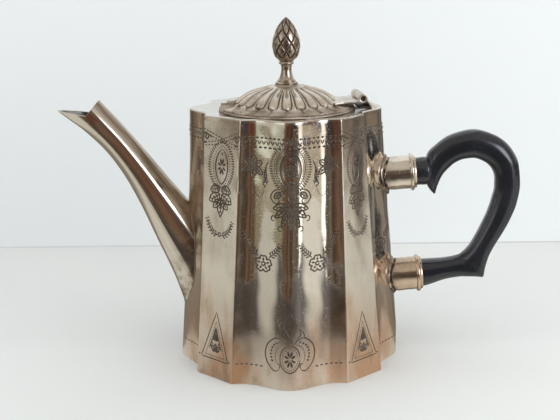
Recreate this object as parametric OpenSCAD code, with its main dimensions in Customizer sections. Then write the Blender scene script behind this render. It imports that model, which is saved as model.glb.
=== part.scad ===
// Silver-plated teapot: a tapered body with four bowed sides and four flat corner panels,
// an eight-sided spout, a black scroll handle in two sockets, and a hinged domed lid
// with a pine-cone finial. Millimetres, +Z up, origin on the pot's axis at the table.
// -X is the spout's side and +X the handle's.

/* [Body] */
// Height of the body, from the table to the top plate's upper face
body_h = 131.8; // [120:0.1:140]
// From the axis to the crest of each bowed side, at the base
bow_r = 56.5; // [55:0.5:58]
// From the axis to the eight ridges, at the base
ridge_r = 55.3; // [54:0.1:56.5]
// From the axis to the floor of the flutes beside the ridges, at the base
flute_r = 46.5; // [45.5:0.1:46.8]
// Angle between a bowed side's middle and its ridges
ridge_angle = 31.7; // [31:0.1:32.5]
// Size of the plan at the top, as a share of the base
top_scale = 0.832; // [0.81:0.005:0.85]
// Thickness of the sheet metal
sheet = 1.0; // [0.9:0.1:1.2]

/* [Lid] */
// Radius of the hole in the top plate
mouth_r = 30; // [29.5:0.1:30.5]
// Radius of the lid's flat rim
rim_r = 34.5; // [34:0.1:34.8]
// Height of the dome above its rim
dome_h = 9.9; // [9:0.1:10.5]
// Radius of the dome at its foot
dome_r = 29.4; // [28.5:0.1:30]
// Depth of the locating ring under the lid
bezel_depth = 5; // [3:0.5:5.5]

/* [Hinge] */
// From the axis of the pot to the middle of the hinge's pin
hinge_r = 36.8; // [36.6:0.1:37.2]
// How far the pin is turned, seen from above, from square to the handle
hinge_skew = 8.5; // [0:0.5:9]
// Height of the pin above the top plate
hinge_rise = 5.2; // [5:0.1:6]
// Outer radius of the barrel
barrel_r = 2.35; // [2.2:0.05:2.5]
// Radius of the pin
pin_r = 1.25; // [1:0.05:1.3]
// Length of the barrel
barrel_len = 20; // [18:0.5:22]

/* [Handle] */
// Height of the upper socket's axis where it meets the wall
upper_socket_z = 96.4; // [95:0.1:98]
// Height of the lower socket's axis where it meets the wall
lower_socket_z = 42.3; // [41:0.1:44]
// Outer radius of the sockets
socket_r = 8.6; // [8.2:0.1:9]
// Radius of the tenons, and of the sockets' bores
tenon_r = 7.1; // [6.8:0.1:7.2]
// Length of a socket, from the wall to its mouth
socket_len = 15.8; // [15:0.1:16.5]
// Half thickness of the grip across the pot's middle plane
grip_half = 6.6; // [6:0.1:7]

/* [Strainer] */
// Radius of the holes through the wall behind the spout
strainer_hole_r = 1.5; // [1:0.1:1.8]
// Distance between the rows of holes
strainer_pitch = 6; // [5:0.5:7]

/* [Hidden] */
$fn = 64;

silver = [0.74, 0.70, 0.64];
dull_silver = [0.58, 0.52, 0.45];
black = [0.05, 0.05, 0.06];
brass = [0.72, 0.60, 0.36];
gap = 0.2;           // clearance between the lid and the pot
seat_gap = 0.05;     // clearance between plates and the wall they are soldered into
overrun = 1;         // how far a cutting shape passes the face that it cuts

// ---- plan of the body -------------------------------------------------------------
ridge_x = ridge_r * sin(ridge_angle);
ridge_depth = ridge_r * cos(ridge_angle);
bow_half = 0.81 * ridge_x;       // half width of the bow; the flute's floor is the rest
side_steps = 28;

// Distance of a side from the axis, at t along it: a cosine bow between two flutes
function side_depth(t) = abs(t) < bow_half
    ? flute_r + (bow_r - flute_r) * (1 + cos(180 * t / bow_half)) / 2
    : flute_r + (ridge_depth - flute_r) * pow((abs(t) - bow_half) / (ridge_x - bow_half), 2);

function turned(p, a) = [p[0] * cos(a) - p[1] * sin(a), p[0] * sin(a) + p[1] * cos(a)];

plan = [
    for (side = [0:3])
        for (i = [0:side_steps])
            let (t = ridge_x * (2 * i / side_steps - 1))
                turned([side_depth(t), t], 90 * side)
];

function taper(z) = 1 - (1 - top_scale) * z / body_h;
wall_tilt = atan(bow_r * (1 - top_scale) / body_h);
function bow_at(z) = bow_r * taper(z);

// The body's form between two heights, with its faces moved in by inset
module body_form(z0, z1, inset = 0) {
    translate([0, 0, z0])
        linear_extrude(height = z1 - z0, scale = taper(z1) / taper(z0))
            scale(taper(z0))
                offset(delta = -inset)
                    polygon(plan);
}

module strainer_holes() {
    rows = 6;
    lowest = 43;
    for (row = [0:rows - 1])
        for (column = row % 2 == 0 ? [-1, 0, 1] : [-0.5, 0.5])
            translate([-bow_r - overrun, column * strainer_pitch, lowest + row * strainer_pitch])
                rotate([0, 90, 0])
                    cylinder(r = strainer_hole_r, h = bow_r / 2, $fn = 24);
}

module body_shell() {
    color(silver)
        difference() {
            body_form(0, body_h);
            body_form(-overrun, body_h + overrun, sheet);
            strainer_holes();
        }
}

module base_plate() {
    color(dull_silver)
        body_form(0, sheet, sheet + seat_gap);
}

module top_plate() {
    color(silver)
        translate([0, 0, body_h - sheet])
            linear_extrude(height = sheet)
                difference() {
                    scale(top_scale)
                        offset(delta = -sheet - seat_gap)
                            polygon(plan);
                    circle(r = mouth_r, $fn = 96);
                }
}

// ---- smooth lofts -----------------------------------------------------------------
// Value at u (0 to 1) between b and c on a smooth curve through a, b, c and d
function smooth(a, b, c, d, u) =
    0.5 * (2 * b + (c - a) * u + (2 * a - 5 * b + 4 * c - d) * u * u
           + (3 * b - a - 3 * c + d) * u * u * u);

// Stations with extra ones between them, every value on a smooth curve
function refined(s, steps) = let (n = len(s) - 1) concat(
    [
        for (i = [0:n - 1])
            for (k = [0:steps - 1])
                [for (j = [0:len(s[0]) - 1])
                    smooth(s[max(i - 1, 0)][j], s[i][j], s[i + 1][j], s[min(i + 2, n)][j], k / steps)]
    ],
    [s[n]]
);

// A closed solid through loops that all have the same number of points
module loft(loops) {
    m = len(loops[0]);
    n = len(loops);
    polyhedron(
        points = [for (l = loops) for (p = l) p],
        faces = concat(
            [[for (j = [0:m - 1]) j]],
            [for (i = [0:n - 2]) for (j = [0:m - 1])
                [i * m + j, (i + 1) * m + j, (i + 1) * m + (j + 1) % m]],
            [for (i = [0:n - 2]) for (j = [0:m - 1])
                [i * m + j, (i + 1) * m + (j + 1) % m, i * m + (j + 1) % m]],
            [[for (j = [m - 1:-1:0]) (n - 1) * m + j]]
        )
    );
}

// ---- spout ------------------------------------------------------------------------
// Each station: underside x and z, upper side x and z, half width
spout_stations = [
    [-49.0, 22.0, -19.0, 43.5, 12.6],
    [-59.6, 44.0, -33.5, 61.2, 12.0],
    [-68.1, 63.8, -46.6, 77.1, 11.0],
    [-76.0, 82.1, -59.2, 92.4, 9.8],
    [-83.8, 97.2, -70.2, 106.3, 8.6],
    [-92.8, 110.2, -81.2, 119.8, 7.8],
    [-103.2, 120.6, -92.6, 132.8, 7.5],
    [-112.0, 127.4, -100.4, 141.2, 6.2],
    [-121.0, 134.3, -108.0, 149.0, 3.6]
];
lip_corner = [-101.6, 129.1];    // where the hood's edge meets the lip's edge
lip_slope = -0.14;
hood_edge = [0.64, 0.77];
corner_cut = tan(22.5);

// Half of an eight-sided section, from the underside round to the top
half_octagon = [[0, -1], [corner_cut, -1], [1, -corner_cut], [1, corner_cut], [corner_cut, 1], [0, 1]];

function spout_point(s, q, inset) =
    let (
        low = [s[0], s[1]],
        high = [s[2], s[3]],
        middle = (low + high) / 2,
        reach = norm(high - low) / 2,
        along = (high - low) / (2 * reach) * (reach - inset) * q[1]
    )
        [middle[0] + along[0], (s[4] - inset) * q[0], middle[1] + along[1]];

function spout_loop(s) = concat(
    [for (q = half_octagon) spout_point(s, q, 0)],
    [for (i = [len(half_octagon) - 1:-1:0]) spout_point(s, half_octagon[i], sheet)]
);

module mouth_cutter() {
    reach = 30;
    rotate([90, 0, 0])
        linear_extrude(height = 2 * reach, center = true)
            polygon([
                lip_corner,
                lip_corner + reach * hood_edge,
                lip_corner + [0, 2 * reach],
                lip_corner + [-reach, 2 * reach],
                lip_corner + [-reach, -reach * lip_slope]
            ]);
}

module spout_half() {
    color(silver)
        difference() {
            loft([for (s = refined(spout_stations, 4)) spout_loop(s)]);
            body_form(-overrun, body_h + overrun);
            mouth_cutter();
        }
}

module spout_far_half() {
    spout_half();
}

module spout_near_half() {
    mirror([0, 1, 0])
        spout_half();
}

// ---- sockets and handle -----------------------------------------------------------
bead_r = 9.5;
bead_w = 3.2;
handle_pin_r = 1;
pin_set_back = 6;        // from the socket's mouth to its pin

// Puts children on a socket's axis: the wall is at 0 and the mouth at socket_len
module at_socket(z) {
    translate([bow_at(z), 0, z])
        rotate([0, 90 - wall_tilt, 0])
            children();
}

module socket_tube(z) {
    difference() {
        at_socket(z)
            translate([0, 0, -3])
                cylinder(r = socket_r, h = socket_len + 3 - bead_w);
        at_socket(z)
            translate([0, 0, -3 - overrun])
                cylinder(r = tenon_r, h = socket_len + 3 + 2 * overrun);
        body_form(-overrun, body_h + overrun);
        handle_pin_at(z);
    }
}

module socket_bead(z) {
    at_socket(z)
        translate([0, 0, socket_len - bead_w])
            rotate_extrude()
                polygon(concat(
                    [[tenon_r, 0], [socket_r, 0]],
                    [for (a = [-90:15:90]) [bead_r - 1.1 + 1.1 * cos(a), 1.1 + 1.1 * sin(a)]],
                    [[socket_r - 0.2, bead_w - 0.6], [socket_r - 0.7, bead_w], [tenon_r, bead_w]]
                ));
}

// A pin driven up into the tenon from the socket's underside
module handle_pin_at(z) {
    at_socket(z)
        translate([0, 0, socket_len - pin_set_back])
            rotate([0, 90, 0])
                cylinder(r = handle_pin_r, h = socket_r, $fn = 32);
}

module upper_socket() { color(silver) socket_tube(upper_socket_z); }
module lower_socket() { color(silver) socket_tube(lower_socket_z); }
module upper_socket_bead() { color(silver) socket_bead(upper_socket_z); }
module lower_socket_bead() { color(silver) socket_bead(lower_socket_z); }
module upper_handle_pin() { color(dull_silver) handle_pin_at(upper_socket_z); }
module lower_handle_pin() { color(dull_silver) handle_pin_at(lower_socket_z); }

// Each station: back x and z, belly x and z, share of the full thickness
grip_stations = [
    [75.6, 86.0, 76.4, 86.4, 0.10],
    [73.4, 87.8, 77.0, 89.4, 0.42],
    [71.6, 91.6, 78.6, 93.2, 0.72],
    [70.4, 98.6, 80.2, 96.2, 0.90],
    [71.9, 106.6, 82.4, 98.6, 1.00],
    [76.9, 112.0, 85.6, 101.6, 1.03],
    [84.6, 116.8, 90.0, 103.8, 1.05],
    [95.5, 119.2, 95.3, 104.4, 1.07],
    [106.5, 116.2, 101.0, 102.4, 1.06],
    [114.8, 109.4, 105.0, 98.3, 1.05],
    [119.0, 100.0, 106.6, 93.6, 1.03],
    [119.9, 90.0, 106.6, 88.8, 1.00],
    [118.5, 80.4, 105.4, 83.0, 0.98],
    [115.6, 72.6, 103.4, 76.4, 0.96],
    [111.7, 64.8, 100.5, 69.6, 0.94],
    [107.7, 58.0, 97.2, 62.8, 0.93],
    [104.6, 52.0, 93.8, 57.2, 0.92],
    [102.8, 46.2, 91.0, 50.8, 0.86],
    [101.7, 41.4, 92.4, 42.4, 0.50]
];
arm_stations = [
    [69.9, 50.7, 70.9, 36.5, 1.07],
    [75.0, 50.8, 75.4, 37.7, 1.00],
    [80.4, 51.2, 80.8, 39.6, 0.92],
    [86.8, 52.4, 87.4, 41.0, 0.88],
    [91.4, 54.4, 92.6, 41.5, 0.88],
    [97.0, 53.6, 96.6, 41.5, 0.80]
];
handle_sides = 20;
squareness = 0.86;      // below 1, the section is fuller than an ellipse

function fuller(v) = sign(v) * pow(abs(v), squareness);

function handle_loop(s) =
    let (outer = [s[0], s[1]], inner = [s[2], s[3]], middle = (outer + inner) / 2, half = (outer - inner) / 2)
        [for (k = [0:handle_sides - 1])
            let (a = 360 * k / handle_sides, c = fuller(cos(a)), w = fuller(sin(a)))
                [middle[0] + half[0] * c, -w * s[4] * grip_half, middle[1] + half[1] * c]];

// A round tenon from the bottom of a socket to past its mouth
module tenon(z, past) {
    at_socket(z)
        translate([0, 0, 1])
            cylinder(r = tenon_r, h = socket_len - 1 + past);
}

module handle() {
    color(black)
        difference() {
            union() {
                loft([for (s = refined(grip_stations, 2)) handle_loop(s)]);
                loft([for (s = refined(arm_stations, 2)) handle_loop(s)]);
                tenon(upper_socket_z, 9);
                tenon(lower_socket_z, 3);
            }
            handle_pin_at(upper_socket_z);
            handle_pin_at(lower_socket_z);
        }
}

// ---- hinge ------------------------------------------------------------------------
hinge_z = body_h + hinge_rise;
centre_len = 7.6;
knuckle_gap = 0.2;
outer_len = (barrel_len - centre_len) / 2 - knuckle_gap;
pin_clearance = 0.05;
leaf_t = 1.0;

module at_hinge() {
    translate([hinge_r, 0, hinge_z])
        rotate([0, 0, hinge_skew])
            children();
}

// A bar of the given length along the pin, with the child's outline seen along the pin
module across(length) {
    translate([0, length / 2, 0])
        rotate([90, 0, 0])
            linear_extrude(height = length)
                children();
}

module knuckle(y0, length) {
    translate([0, y0, 0])
        rotate([-90, 0, 0])
            cylinder(r = barrel_r, h = length, $fn = 48);
}

module pin_hole(r) {
    translate([0, -barrel_len, 0])
        rotate([-90, 0, 0])
            cylinder(r = r, h = 2 * barrel_len, $fn = 48);
}

// The pot's leaf: a full-width plate that bends down from behind the barrel to the top
// plate, with a tongue under the centre knuckle
module body_hinge_leaf() {
    foot_z = body_h - hinge_z;
    clear_x = barrel_r + 0.4;
    color(silver)
        at_hinge()
            difference() {
                union() {
                    across(barrel_len)
                        polygon([
                            [clear_x, 0.6], [clear_x, 1.7], [4.4, 1.2], [5.8, -0.6],
                            [6.8, foot_z + leaf_t], [7.0, foot_z], [4.2, foot_z], [4.4, -1.8], [3.8, -0.2]
                        ]);
                    across(centre_len)
                        polygon([[1.0, -2.1], [0, 1.7], [clear_x + 0.4, 1.7], [4.2, foot_z + 0.1]]);
                    across(centre_len)
                        polygon([[0, foot_z], [0, foot_z + leaf_t], [4.6, foot_z + leaf_t], [4.6, foot_z]]);
                    knuckle(-centre_len / 2, centre_len);
                }
                pin_hole(pin_r);
            }
}

module hinge_pin() {
    color(brass)
        at_hinge()
            translate([0, -barrel_len / 2 + 1.5, 0])
                rotate([-90, 0, 0])
                    cylinder(r = pin_r, h = barrel_len - 3, $fn = 48);
}

// The lid's leaf: a plate from the dome's foot to the two outer knuckles, notched for the
// centre knuckle
module lid_hinge_leaf() {
    reach = 12.5;
    flare = 1.5;
    slope = 3;
    half = barrel_len / 2;
    notch = half - outer_len;
    notch_x = barrel_r + 0.5;
    color(silver)
        difference() {
            at_hinge()
                difference() {
                    union() {
                        rotate([0, -slope, 0])
                            translate([0, 0, -barrel_r + 0.5])
                                linear_extrude(height = leaf_t)
                                    polygon([
                                        [-1.4, -half], [-1.4, -notch], [-notch_x, -notch], [-notch_x, notch],
                                        [-1.4, notch], [-1.4, half], [-0.4 * reach, half],
                                        [-reach, half + flare], [-reach, -half - flare], [-0.4 * reach, -half]
                                    ]);
                        knuckle(-half, outer_len);
                        knuckle(notch, outer_len);
                    }
                    pin_hole(pin_r + pin_clearance);
                }
            translate([0, 0, body_h])
                cylinder(r = dome_r - 1.1, h = 4 * barrel_r, $fn = 96);
        }
}

// ---- lid --------------------------------------------------------------------------
rim_z = body_h + gap;
rim_t = 0.9;
crown_r = 8;             // flat disc under the finial
dome_steps = 16;

// A dome that is flat inside crown_r and falls ever more steeply to its foot
function dome_curve(foot_r, foot_z) = [
    for (i = [0:dome_steps])
        let (u = i / dome_steps)
            [crown_r + (foot_r - crown_r) * u, foot_z + dome_h * (1 - pow(u, 1.75))]
];
function reversed(list) = [for (i = [len(list) - 1:-1:0]) list[i]];

module lid_dome() {
    stud_clear = 1.6;
    color(silver)
        rotate_extrude($fn = 96)
            polygon(concat(
                [[rim_r, rim_z], [rim_r, rim_z + rim_t]],
                reversed(dome_curve(dome_r, rim_z + rim_t)),
                [[stud_clear, rim_z + rim_t + dome_h], [stud_clear, rim_z + dome_h]],
                dome_curve(dome_r - rim_t, rim_z)
            ));
}

module lid_bezel() {
    bezel_out = mouth_r - 0.8;
    bezel_t = 0.9;
    color(silver)
        translate([0, 0, rim_z - bezel_depth])
            rotate_extrude($fn = 96)
                translate([bezel_out - bezel_t, 0])
                    square([bezel_t, bezel_depth]);
}

// ---- finial -----------------------------------------------------------------------
crown_z = rim_z + rim_t + dome_h;
seat_h = 0.8;
stem_h = 11.5;
cone_h = 22.3;
stud_r = 1.5;
stem_z = crown_z + seat_h;
cone_z = stem_z + stem_h;

module finial_seat() {
    color(dull_silver)
        translate([0, 0, crown_z])
            difference() {
                cylinder(r1 = 6.3, r2 = 5.9, h = seat_h);
                translate([0, 0, -overrun])
                    cylinder(r = stud_r, h = seat_h + 2 * overrun);
            }
}

// A turned stem: a moulded foot, a waist and a collar
module finial_stem() {
    color(dull_silver)
        translate([0, 0, stem_z])
            rotate_extrude()
                polygon([
                    [stud_r, 0], [5.4, 0], [5.8, 0.3], [5.7, 0.8], [5.0, 1.4], [4.7, 1.6], [4.6, 2.0],
                    [4.1, 2.5], [3.4, 4.0], [2.8, 6.0], [2.6, 7.4], [2.7, 8.8], [3.1, 9.9],
                    [3.8, 10.4], [4.0, 10.9], [3.7, stem_h], [stud_r, stem_h]
                ]);
}

// Radius of the cone at share u of its height: an egg, blunt below and pointed above
function cone_r(u) = 15.8 * sqrt(u + 0.05) * pow(1 - u, 0.8);

module finial_cone() {
    steps = 24;
    socket_depth = 6;
    color(dull_silver)
        translate([0, 0, cone_z])
            difference() {
                rotate_extrude()
                    polygon(concat([[0, 0]], [for (i = [0:steps]) [cone_r(i / steps), cone_h * i / steps]]));
                translate([0, 0, -overrun])
                    cylinder(r = stud_r, h = socket_depth + overrun);
            }
}

inside_z = rim_z + dome_h;       // underside of the crown
washer_t = 0.8;
nut_t = 2.4;

module finial_stud() {
    color(brass)
        translate([0, 0, inside_z - washer_t - nut_t - 0.8])
            cylinder(r = stud_r, h = cone_z + 6 - (inside_z - washer_t - nut_t - 0.8));
}

module finial_washer() {
    color(brass)
        translate([0, 0, inside_z - washer_t])
            difference() {
                cylinder(r = 4, h = washer_t);
                translate([0, 0, -overrun])
                    cylinder(r = stud_r, h = washer_t + 2 * overrun);
            }
}

module finial_nut() {
    nut_r = 3.2;
    color(brass)
        translate([0, 0, inside_z - washer_t - nut_t])
            difference() {
                cylinder(r = nut_r, h = nut_t, $fn = 6);
                translate([0, 0, -overrun])
                    cylinder(r = stud_r, h = nut_t + 2 * overrun);
            }
}

body_shell();
base_plate();
top_plate();
spout_near_half();
spout_far_half();
upper_socket();
upper_socket_bead();
lower_socket();
lower_socket_bead();
handle();
upper_handle_pin();
lower_handle_pin();
body_hinge_leaf();
hinge_pin();
lid_hinge_leaf();
lid_dome();
lid_bezel();
finial_seat();
finial_stem();
finial_cone();
finial_stud();
finial_washer();
finial_nut();
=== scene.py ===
import math
import bpy
import numpy as np
from mathutils import Matrix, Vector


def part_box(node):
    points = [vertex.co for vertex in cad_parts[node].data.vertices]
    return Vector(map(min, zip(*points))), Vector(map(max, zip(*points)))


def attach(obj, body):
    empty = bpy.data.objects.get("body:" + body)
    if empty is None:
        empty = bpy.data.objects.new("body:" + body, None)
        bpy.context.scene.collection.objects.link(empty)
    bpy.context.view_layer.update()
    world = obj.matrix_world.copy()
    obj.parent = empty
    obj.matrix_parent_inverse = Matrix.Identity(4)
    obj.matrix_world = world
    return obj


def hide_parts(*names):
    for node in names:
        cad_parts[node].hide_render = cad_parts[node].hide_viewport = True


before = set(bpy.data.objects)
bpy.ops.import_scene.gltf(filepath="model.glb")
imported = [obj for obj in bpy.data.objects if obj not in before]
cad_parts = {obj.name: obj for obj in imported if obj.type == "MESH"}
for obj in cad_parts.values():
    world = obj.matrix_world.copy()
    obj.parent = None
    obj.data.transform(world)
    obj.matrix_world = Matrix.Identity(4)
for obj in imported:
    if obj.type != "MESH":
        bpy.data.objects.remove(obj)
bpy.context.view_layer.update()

mm = 0.001
tau = 2 * math.pi


def gridFaces(rows, columns, wrapRows=False, wrapColumns=True, first=0):
    # quads between neighbouring rows and columns of a grid of points
    i = np.arange(rows if wrapRows else rows - 1)[:, None]
    j = np.arange(columns if wrapColumns else columns - 1)[None, :]
    nextI, nextJ = (i + 1) % rows, (j + 1) % columns
    quads = np.stack(np.broadcast_arrays(i * columns + j, i * columns + nextJ, nextI * columns + nextJ,
                                         nextI * columns + j), -1)
    return quads.reshape(-1, 4) + first


def fan(ring, centre):
    # triangles from one centre point to a ring of points
    return np.stack([ring, np.roll(ring, -1), np.full(len(ring), centre)], -1)


def putMesh(name, points, quads, triangles=None, values=None, turnOut=True, sharp=None):
    # points (n, 3) and the faces that index them become an object; values are named point attributes
    triangles = np.zeros((0, 3), int) if triangles is None else triangles
    if turnOut:
        split = np.concatenate([quads[:, [0, 1, 2]], quads[:, [0, 2, 3]], triangles])
        a, b, c = (points[split[:, k]] for k in range(3))
        if np.einsum("ij,ij->", a, np.cross(b, c)) < 0:
            quads, triangles = quads[:, ::-1], triangles[:, ::-1]
    corners = np.concatenate([quads.ravel(), triangles.ravel()])
    starts = np.concatenate([4 * np.arange(len(quads)), 4 * len(quads) + 3 * np.arange(len(triangles))])
    mesh = bpy.data.meshes.new(name)
    mesh.vertices.add(len(points))
    mesh.vertices.foreach_set("co", (points * mm).astype(np.float32).ravel())
    mesh.loops.add(len(corners))
    mesh.loops.foreach_set("vertex_index", corners.astype(np.int32))
    mesh.polygons.add(len(starts))
    mesh.polygons.foreach_set("loop_start", starts.astype(np.int32))
    mesh.update(calc_edges=True)
    mesh.polygons.foreach_set("use_smooth", np.ones(len(starts), bool))
    for key, value in (values or {}).items():
        mesh.attributes.new(key, "FLOAT", "POINT").data.foreach_set("value", value.astype(np.float32).ravel())
    if sharp:
        mesh.set_sharp_from_angle(angle=math.radians(sharp))
    mesh.validate()
    piece = bpy.data.objects.new(name, mesh)
    bpy.context.scene.collection.objects.link(piece)
    return piece


def tube(name, rings, closed=False, values=None, sharp=None):
    # a skin over rings (rows, columns, 3): a torus if closed, or else with a fan over each end
    rows, columns = rings.shape[:2]
    points = rings.reshape(-1, 3)
    quads = gridFaces(rows, columns, wrapRows=closed)
    if closed:
        return putMesh(name, points, quads, values=values, sharp=sharp)
    points = np.concatenate([points, rings[[0, -1]].mean(1)])
    count = rows * columns
    triangles = np.concatenate([fan(np.arange(columns)[::-1], count),
                                fan(np.arange(count - columns, count), count + 1)])
    if values:
        values = {k: np.concatenate([v.ravel(), v[0].mean(keepdims=True), v[-1].mean(keepdims=True)])
                  for k, v in values.items()}
    return putMesh(name, points, quads, triangles, values, sharp=sharp)


def smoothCurve(knots, count):
    # count points on a curve through the knots that never overshoots: cubic pieces whose slope at
    # a knot is the harmonic mean of the slopes beside it, or 0 where they differ in sign
    knots = np.asarray(knots, float)
    step = np.diff(knots, axis=0)
    before, after = step[:-1], step[1:]
    same = before * after > 0
    safe = np.where(same, before + after, 1)
    inner = np.where(same, 2 * before * after / safe, 0)
    slope = np.concatenate([step[:1], inner, step[-1:]])
    u = np.linspace(0, len(knots) - 1, count)
    k = np.minimum(u.astype(int), len(knots) - 2)
    t = (u - k)[:, None]
    return ((1 + 2 * t) * (1 - t) ** 2 * knots[k] + t * (1 - t) ** 2 * slope[k]
            + t * t * (3 - 2 * t) * knots[k + 1] + t * t * (t - 1) * slope[k + 1])


def throughKnots(padded, u):
    # Catmull-Rom curve: at u = k it passes knot k of a list that has one more knot before and after
    k = np.minimum(u.astype(int), len(padded) - 4)
    t = (u - k)[:, None]
    a, b, c, d = (padded[k + i] for i in range(4))
    return 0.5 * (2 * b + (c - a) * t + (2 * a - 5 * b + 4 * c - d) * t * t
                  + (3 * b - a - 3 * c + d) * t ** 3)


def headings(path):
    # the direction of travel at each point of a path
    ahead = np.gradient(path, axis=0)
    return ahead / (np.linalg.norm(ahead, axis=1, keepdims=True) + 1e-9)


def leftOf(ahead):
    return np.stack([-ahead[:, 1], ahead[:, 0]], -1)


def swung(r, angle, z):
    # points at radius r, bearing angle and height z
    return np.stack(np.broadcast_arrays(r * np.cos(angle), r * np.sin(angle), z), -1)


def turnedRings(profile, columns=96):
    # rings of a turned piece: its profile of (radius, height) rows swung round the upright axis
    return swung(profile[:, :1], np.arange(columns) * tau / columns, profile[:, 1:])


def ripple(a, b, seed, shortest=9.0, longest=40.0):
    # soft unevenness: a sum of sines of random direction and phase, about 1 high
    dice = np.random.default_rng(seed)
    total = 0
    waves = 9
    lengths = dice.uniform(shortest, longest, waves)
    bearings, phases = dice.uniform(0, tau, (2, waves))
    for length, heading, phase in zip(lengths, bearings, phases):
        total = total + np.sin((a * math.cos(heading) + b * math.sin(heading)) * tau / length + phase)
    return total / math.sqrt(waves / 2)


body = {
    "height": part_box("body_shell")[1].z / mm,
    "bowRadius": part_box("body_shell")[1].y / mm,   # crest of a bowed side, at the base
    "ridgeRadius": 55.3,
    "fluteDepth": 46.5,          # from the axis to the floor of the flutes
    "ridgeAngle": math.radians(31.7),
    "topScale": 0.832,
    "sheet": 1.0,
    "ridgeSoftness": 0.55,       # spread of the smoothing that rounds the ridges
    "footRound": 0.9,            # how far the wall's lower edge is rounded, and its upper edge
    "rimRound": 0.7,
    "columnStep": 0.46,
    "dent": 0.045,
    "spoutSideSwell": (0.7, 2.0),    # how far the spout's side stands out: at the base, and more above
    "handleSideSwell": 1.3,
    "handleRidgeCreep": 1.4,     # how far the handle side's ridges have crept inward at the top
    "plateDish": 1.0,            # how far the top plate sinks towards the mouth
    "frontDrift": 1.9,           # how far the front bow's top has crept towards the handle
    "mouthRadius": 30.0,
}
ridgeX = body["ridgeRadius"] * math.sin(body["ridgeAngle"])
ridgeDepth = body["ridgeRadius"] * math.cos(body["ridgeAngle"])
bowHalf = 0.81 * ridgeX          # from a bow's crest to the floor of its flute


def taper(z):
    # the plan's scale at height z, as a share of the base's
    return 1 - (1 - body["topScale"]) * z / body["height"]


def sideDepth(t):
    # distance of a bowed side from the axis: a cosine bow between two flutes that rise to the ridges
    t, floor = np.abs(t), body["fluteDepth"]
    bow = floor + (body["bowRadius"] - floor) * (1 + np.cos(math.pi * t / bowHalf)) / 2
    flank = floor + (ridgeDepth - floor) * ((t - bowHalf) / (ridgeX - bowHalf)) ** 2
    return np.where(t < bowHalf, bow, flank)


def planOutline():
    # the base's outline as an even, slightly softened loop of complex numbers, its outward
    # directions, its length, and how far along it the middle of the first bowed side lies
    half, flat = 400, 260        # steps from a bow's crest to its ridge, and along a flat
    t = np.linspace(-ridgeX, ridgeX, 2 * half, endpoint=False)
    side = sideDepth(t) + 1j * t
    corner = np.linspace(side[-1], (ridgeDepth - 1j * ridgeX) * 1j, flat)[1:]
    loop = np.concatenate([np.concatenate([side, corner]) * 1j ** k for k in range(4)])
    along = np.concatenate([[0], np.cumsum(np.abs(np.diff(np.append(loop, loop[0]))))])
    girth = along[-1]
    count = int(round(girth / body["columnStep"] / 8)) * 8
    stepped = np.interp(np.arange(count) * girth / count, along, np.append(loop, loop[0]))
    wave = np.fft.fftfreq(count, girth / count) * tau
    soft = np.fft.ifft(np.fft.fft(stepped) * np.exp(-0.5 * (wave * body["ridgeSoftness"]) ** 2))
    slope = np.fft.ifft(np.fft.fft(soft) * 1j * wave)
    return soft, -1j * slope / np.abs(slope), girth, along[half]


outline, outward, girth, bowMiddle = planOutline()
columns = len(outline)
flatMiddle = bowMiddle + girth / 8


def aroundPlan(s):
    # the outline and its outward direction at distance s along it, as complex numbers
    u = np.mod(s, girth) * columns / girth
    k = u.astype(int) % columns
    after = (k + 1) % columns
    t = u - np.floor(u)
    return outline[k] * (1 - t) + outline[after] * t, outward[k] * (1 - t) + outward[after] * t


def smooth(value, low, high):
    # an S-shaped rise from 0 to 1 between two values
    t = np.clip((value - low) / (high - low), 0, 1)
    return t * t * (3 - 2 * t)


def handMade(plan, z):
    # the real wall isn't quite even: small shifts of a plan point (base scale), by its height
    up = z / body["height"]
    sideways = np.abs(plan.imag)
    swell = body["spoutSideSwell"][0] + body["spoutSideSwell"][1] * up ** 4
    crest = body["handleSideSwell"] * smooth(plan.real, 40, 50) * (1 - smooth(sideways, 8, 24))
    crest = crest * smooth(z, -6, 18)
    ridge = body["handleRidgeCreep"] * up * smooth(plan.real, 34, 46) * smooth(sideways, 14, 26)
    return (body["frontDrift"] * up * smooth(-plan.imag, 29, 46) - swell * smooth(-plan.real, 38, 53)
            + crest - ridge)


def wallPoints(s, z, lift=0.0):
    # points of the wall at s along the base's outline and height z, lifted off it by lift
    point, out = aroundPlan(s)
    uneven = body["dent"] * ripple(s, z, 3) * np.clip(np.minimum(z, body["height"] - z) / 6, 0, 1)
    plan = point * taper(z) + out * (lift + uneven - body["dent"]) + handMade(point, z)
    tilt = (1 - body["topScale"]) * body["bowRadius"] / body["height"]
    return np.stack([plan.real, plan.imag, z + lift * tilt], -1)


def outsideBody(points):
    # positive where a point is outside the bowed sides that face along X
    x, y, z = points[..., 0], points[..., 1], points[..., 2]
    k = taper(z)
    depth = sideDepth(np.clip(y / k, -ridgeX, ridgeX))
    return np.abs(x) - k * depth - np.sign(x) * handMade(np.sign(x) * depth + 1j * y / k, z)


def bodyWall():
    # rows of (inset, height): up the rounded outside and down the inside, carried round the outline
    height, sheet, foot, rim = (body[key] for key in ("height", "sheet", "footRound", "rimRound"))
    edge = np.linspace(0, math.pi / 2, 6)
    low = foot * np.stack([1 - np.sin(edge), 1 - np.cos(edge)], -1)
    high = np.stack([rim * (1 - np.cos(edge)), height - rim * (1 - np.sin(edge))], -1)
    outer = np.stack([np.zeros(64), np.linspace(foot, height - rim, 66)[1:-1]], -1)
    inner = np.stack([np.full(16, sheet), np.linspace(height, 0, 16)], -1)
    rows = np.concatenate([low, outer, high, inner])
    s = np.arange(columns) * girth / columns
    inset, z = rows[:, :1], rows[:, 1:]
    rings = wallPoints(*np.broadcast_arrays(s, z), -inset)
    rings[..., 2] = z
    return tube("body_wall", rings, closed=True, sharp=60)


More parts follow.
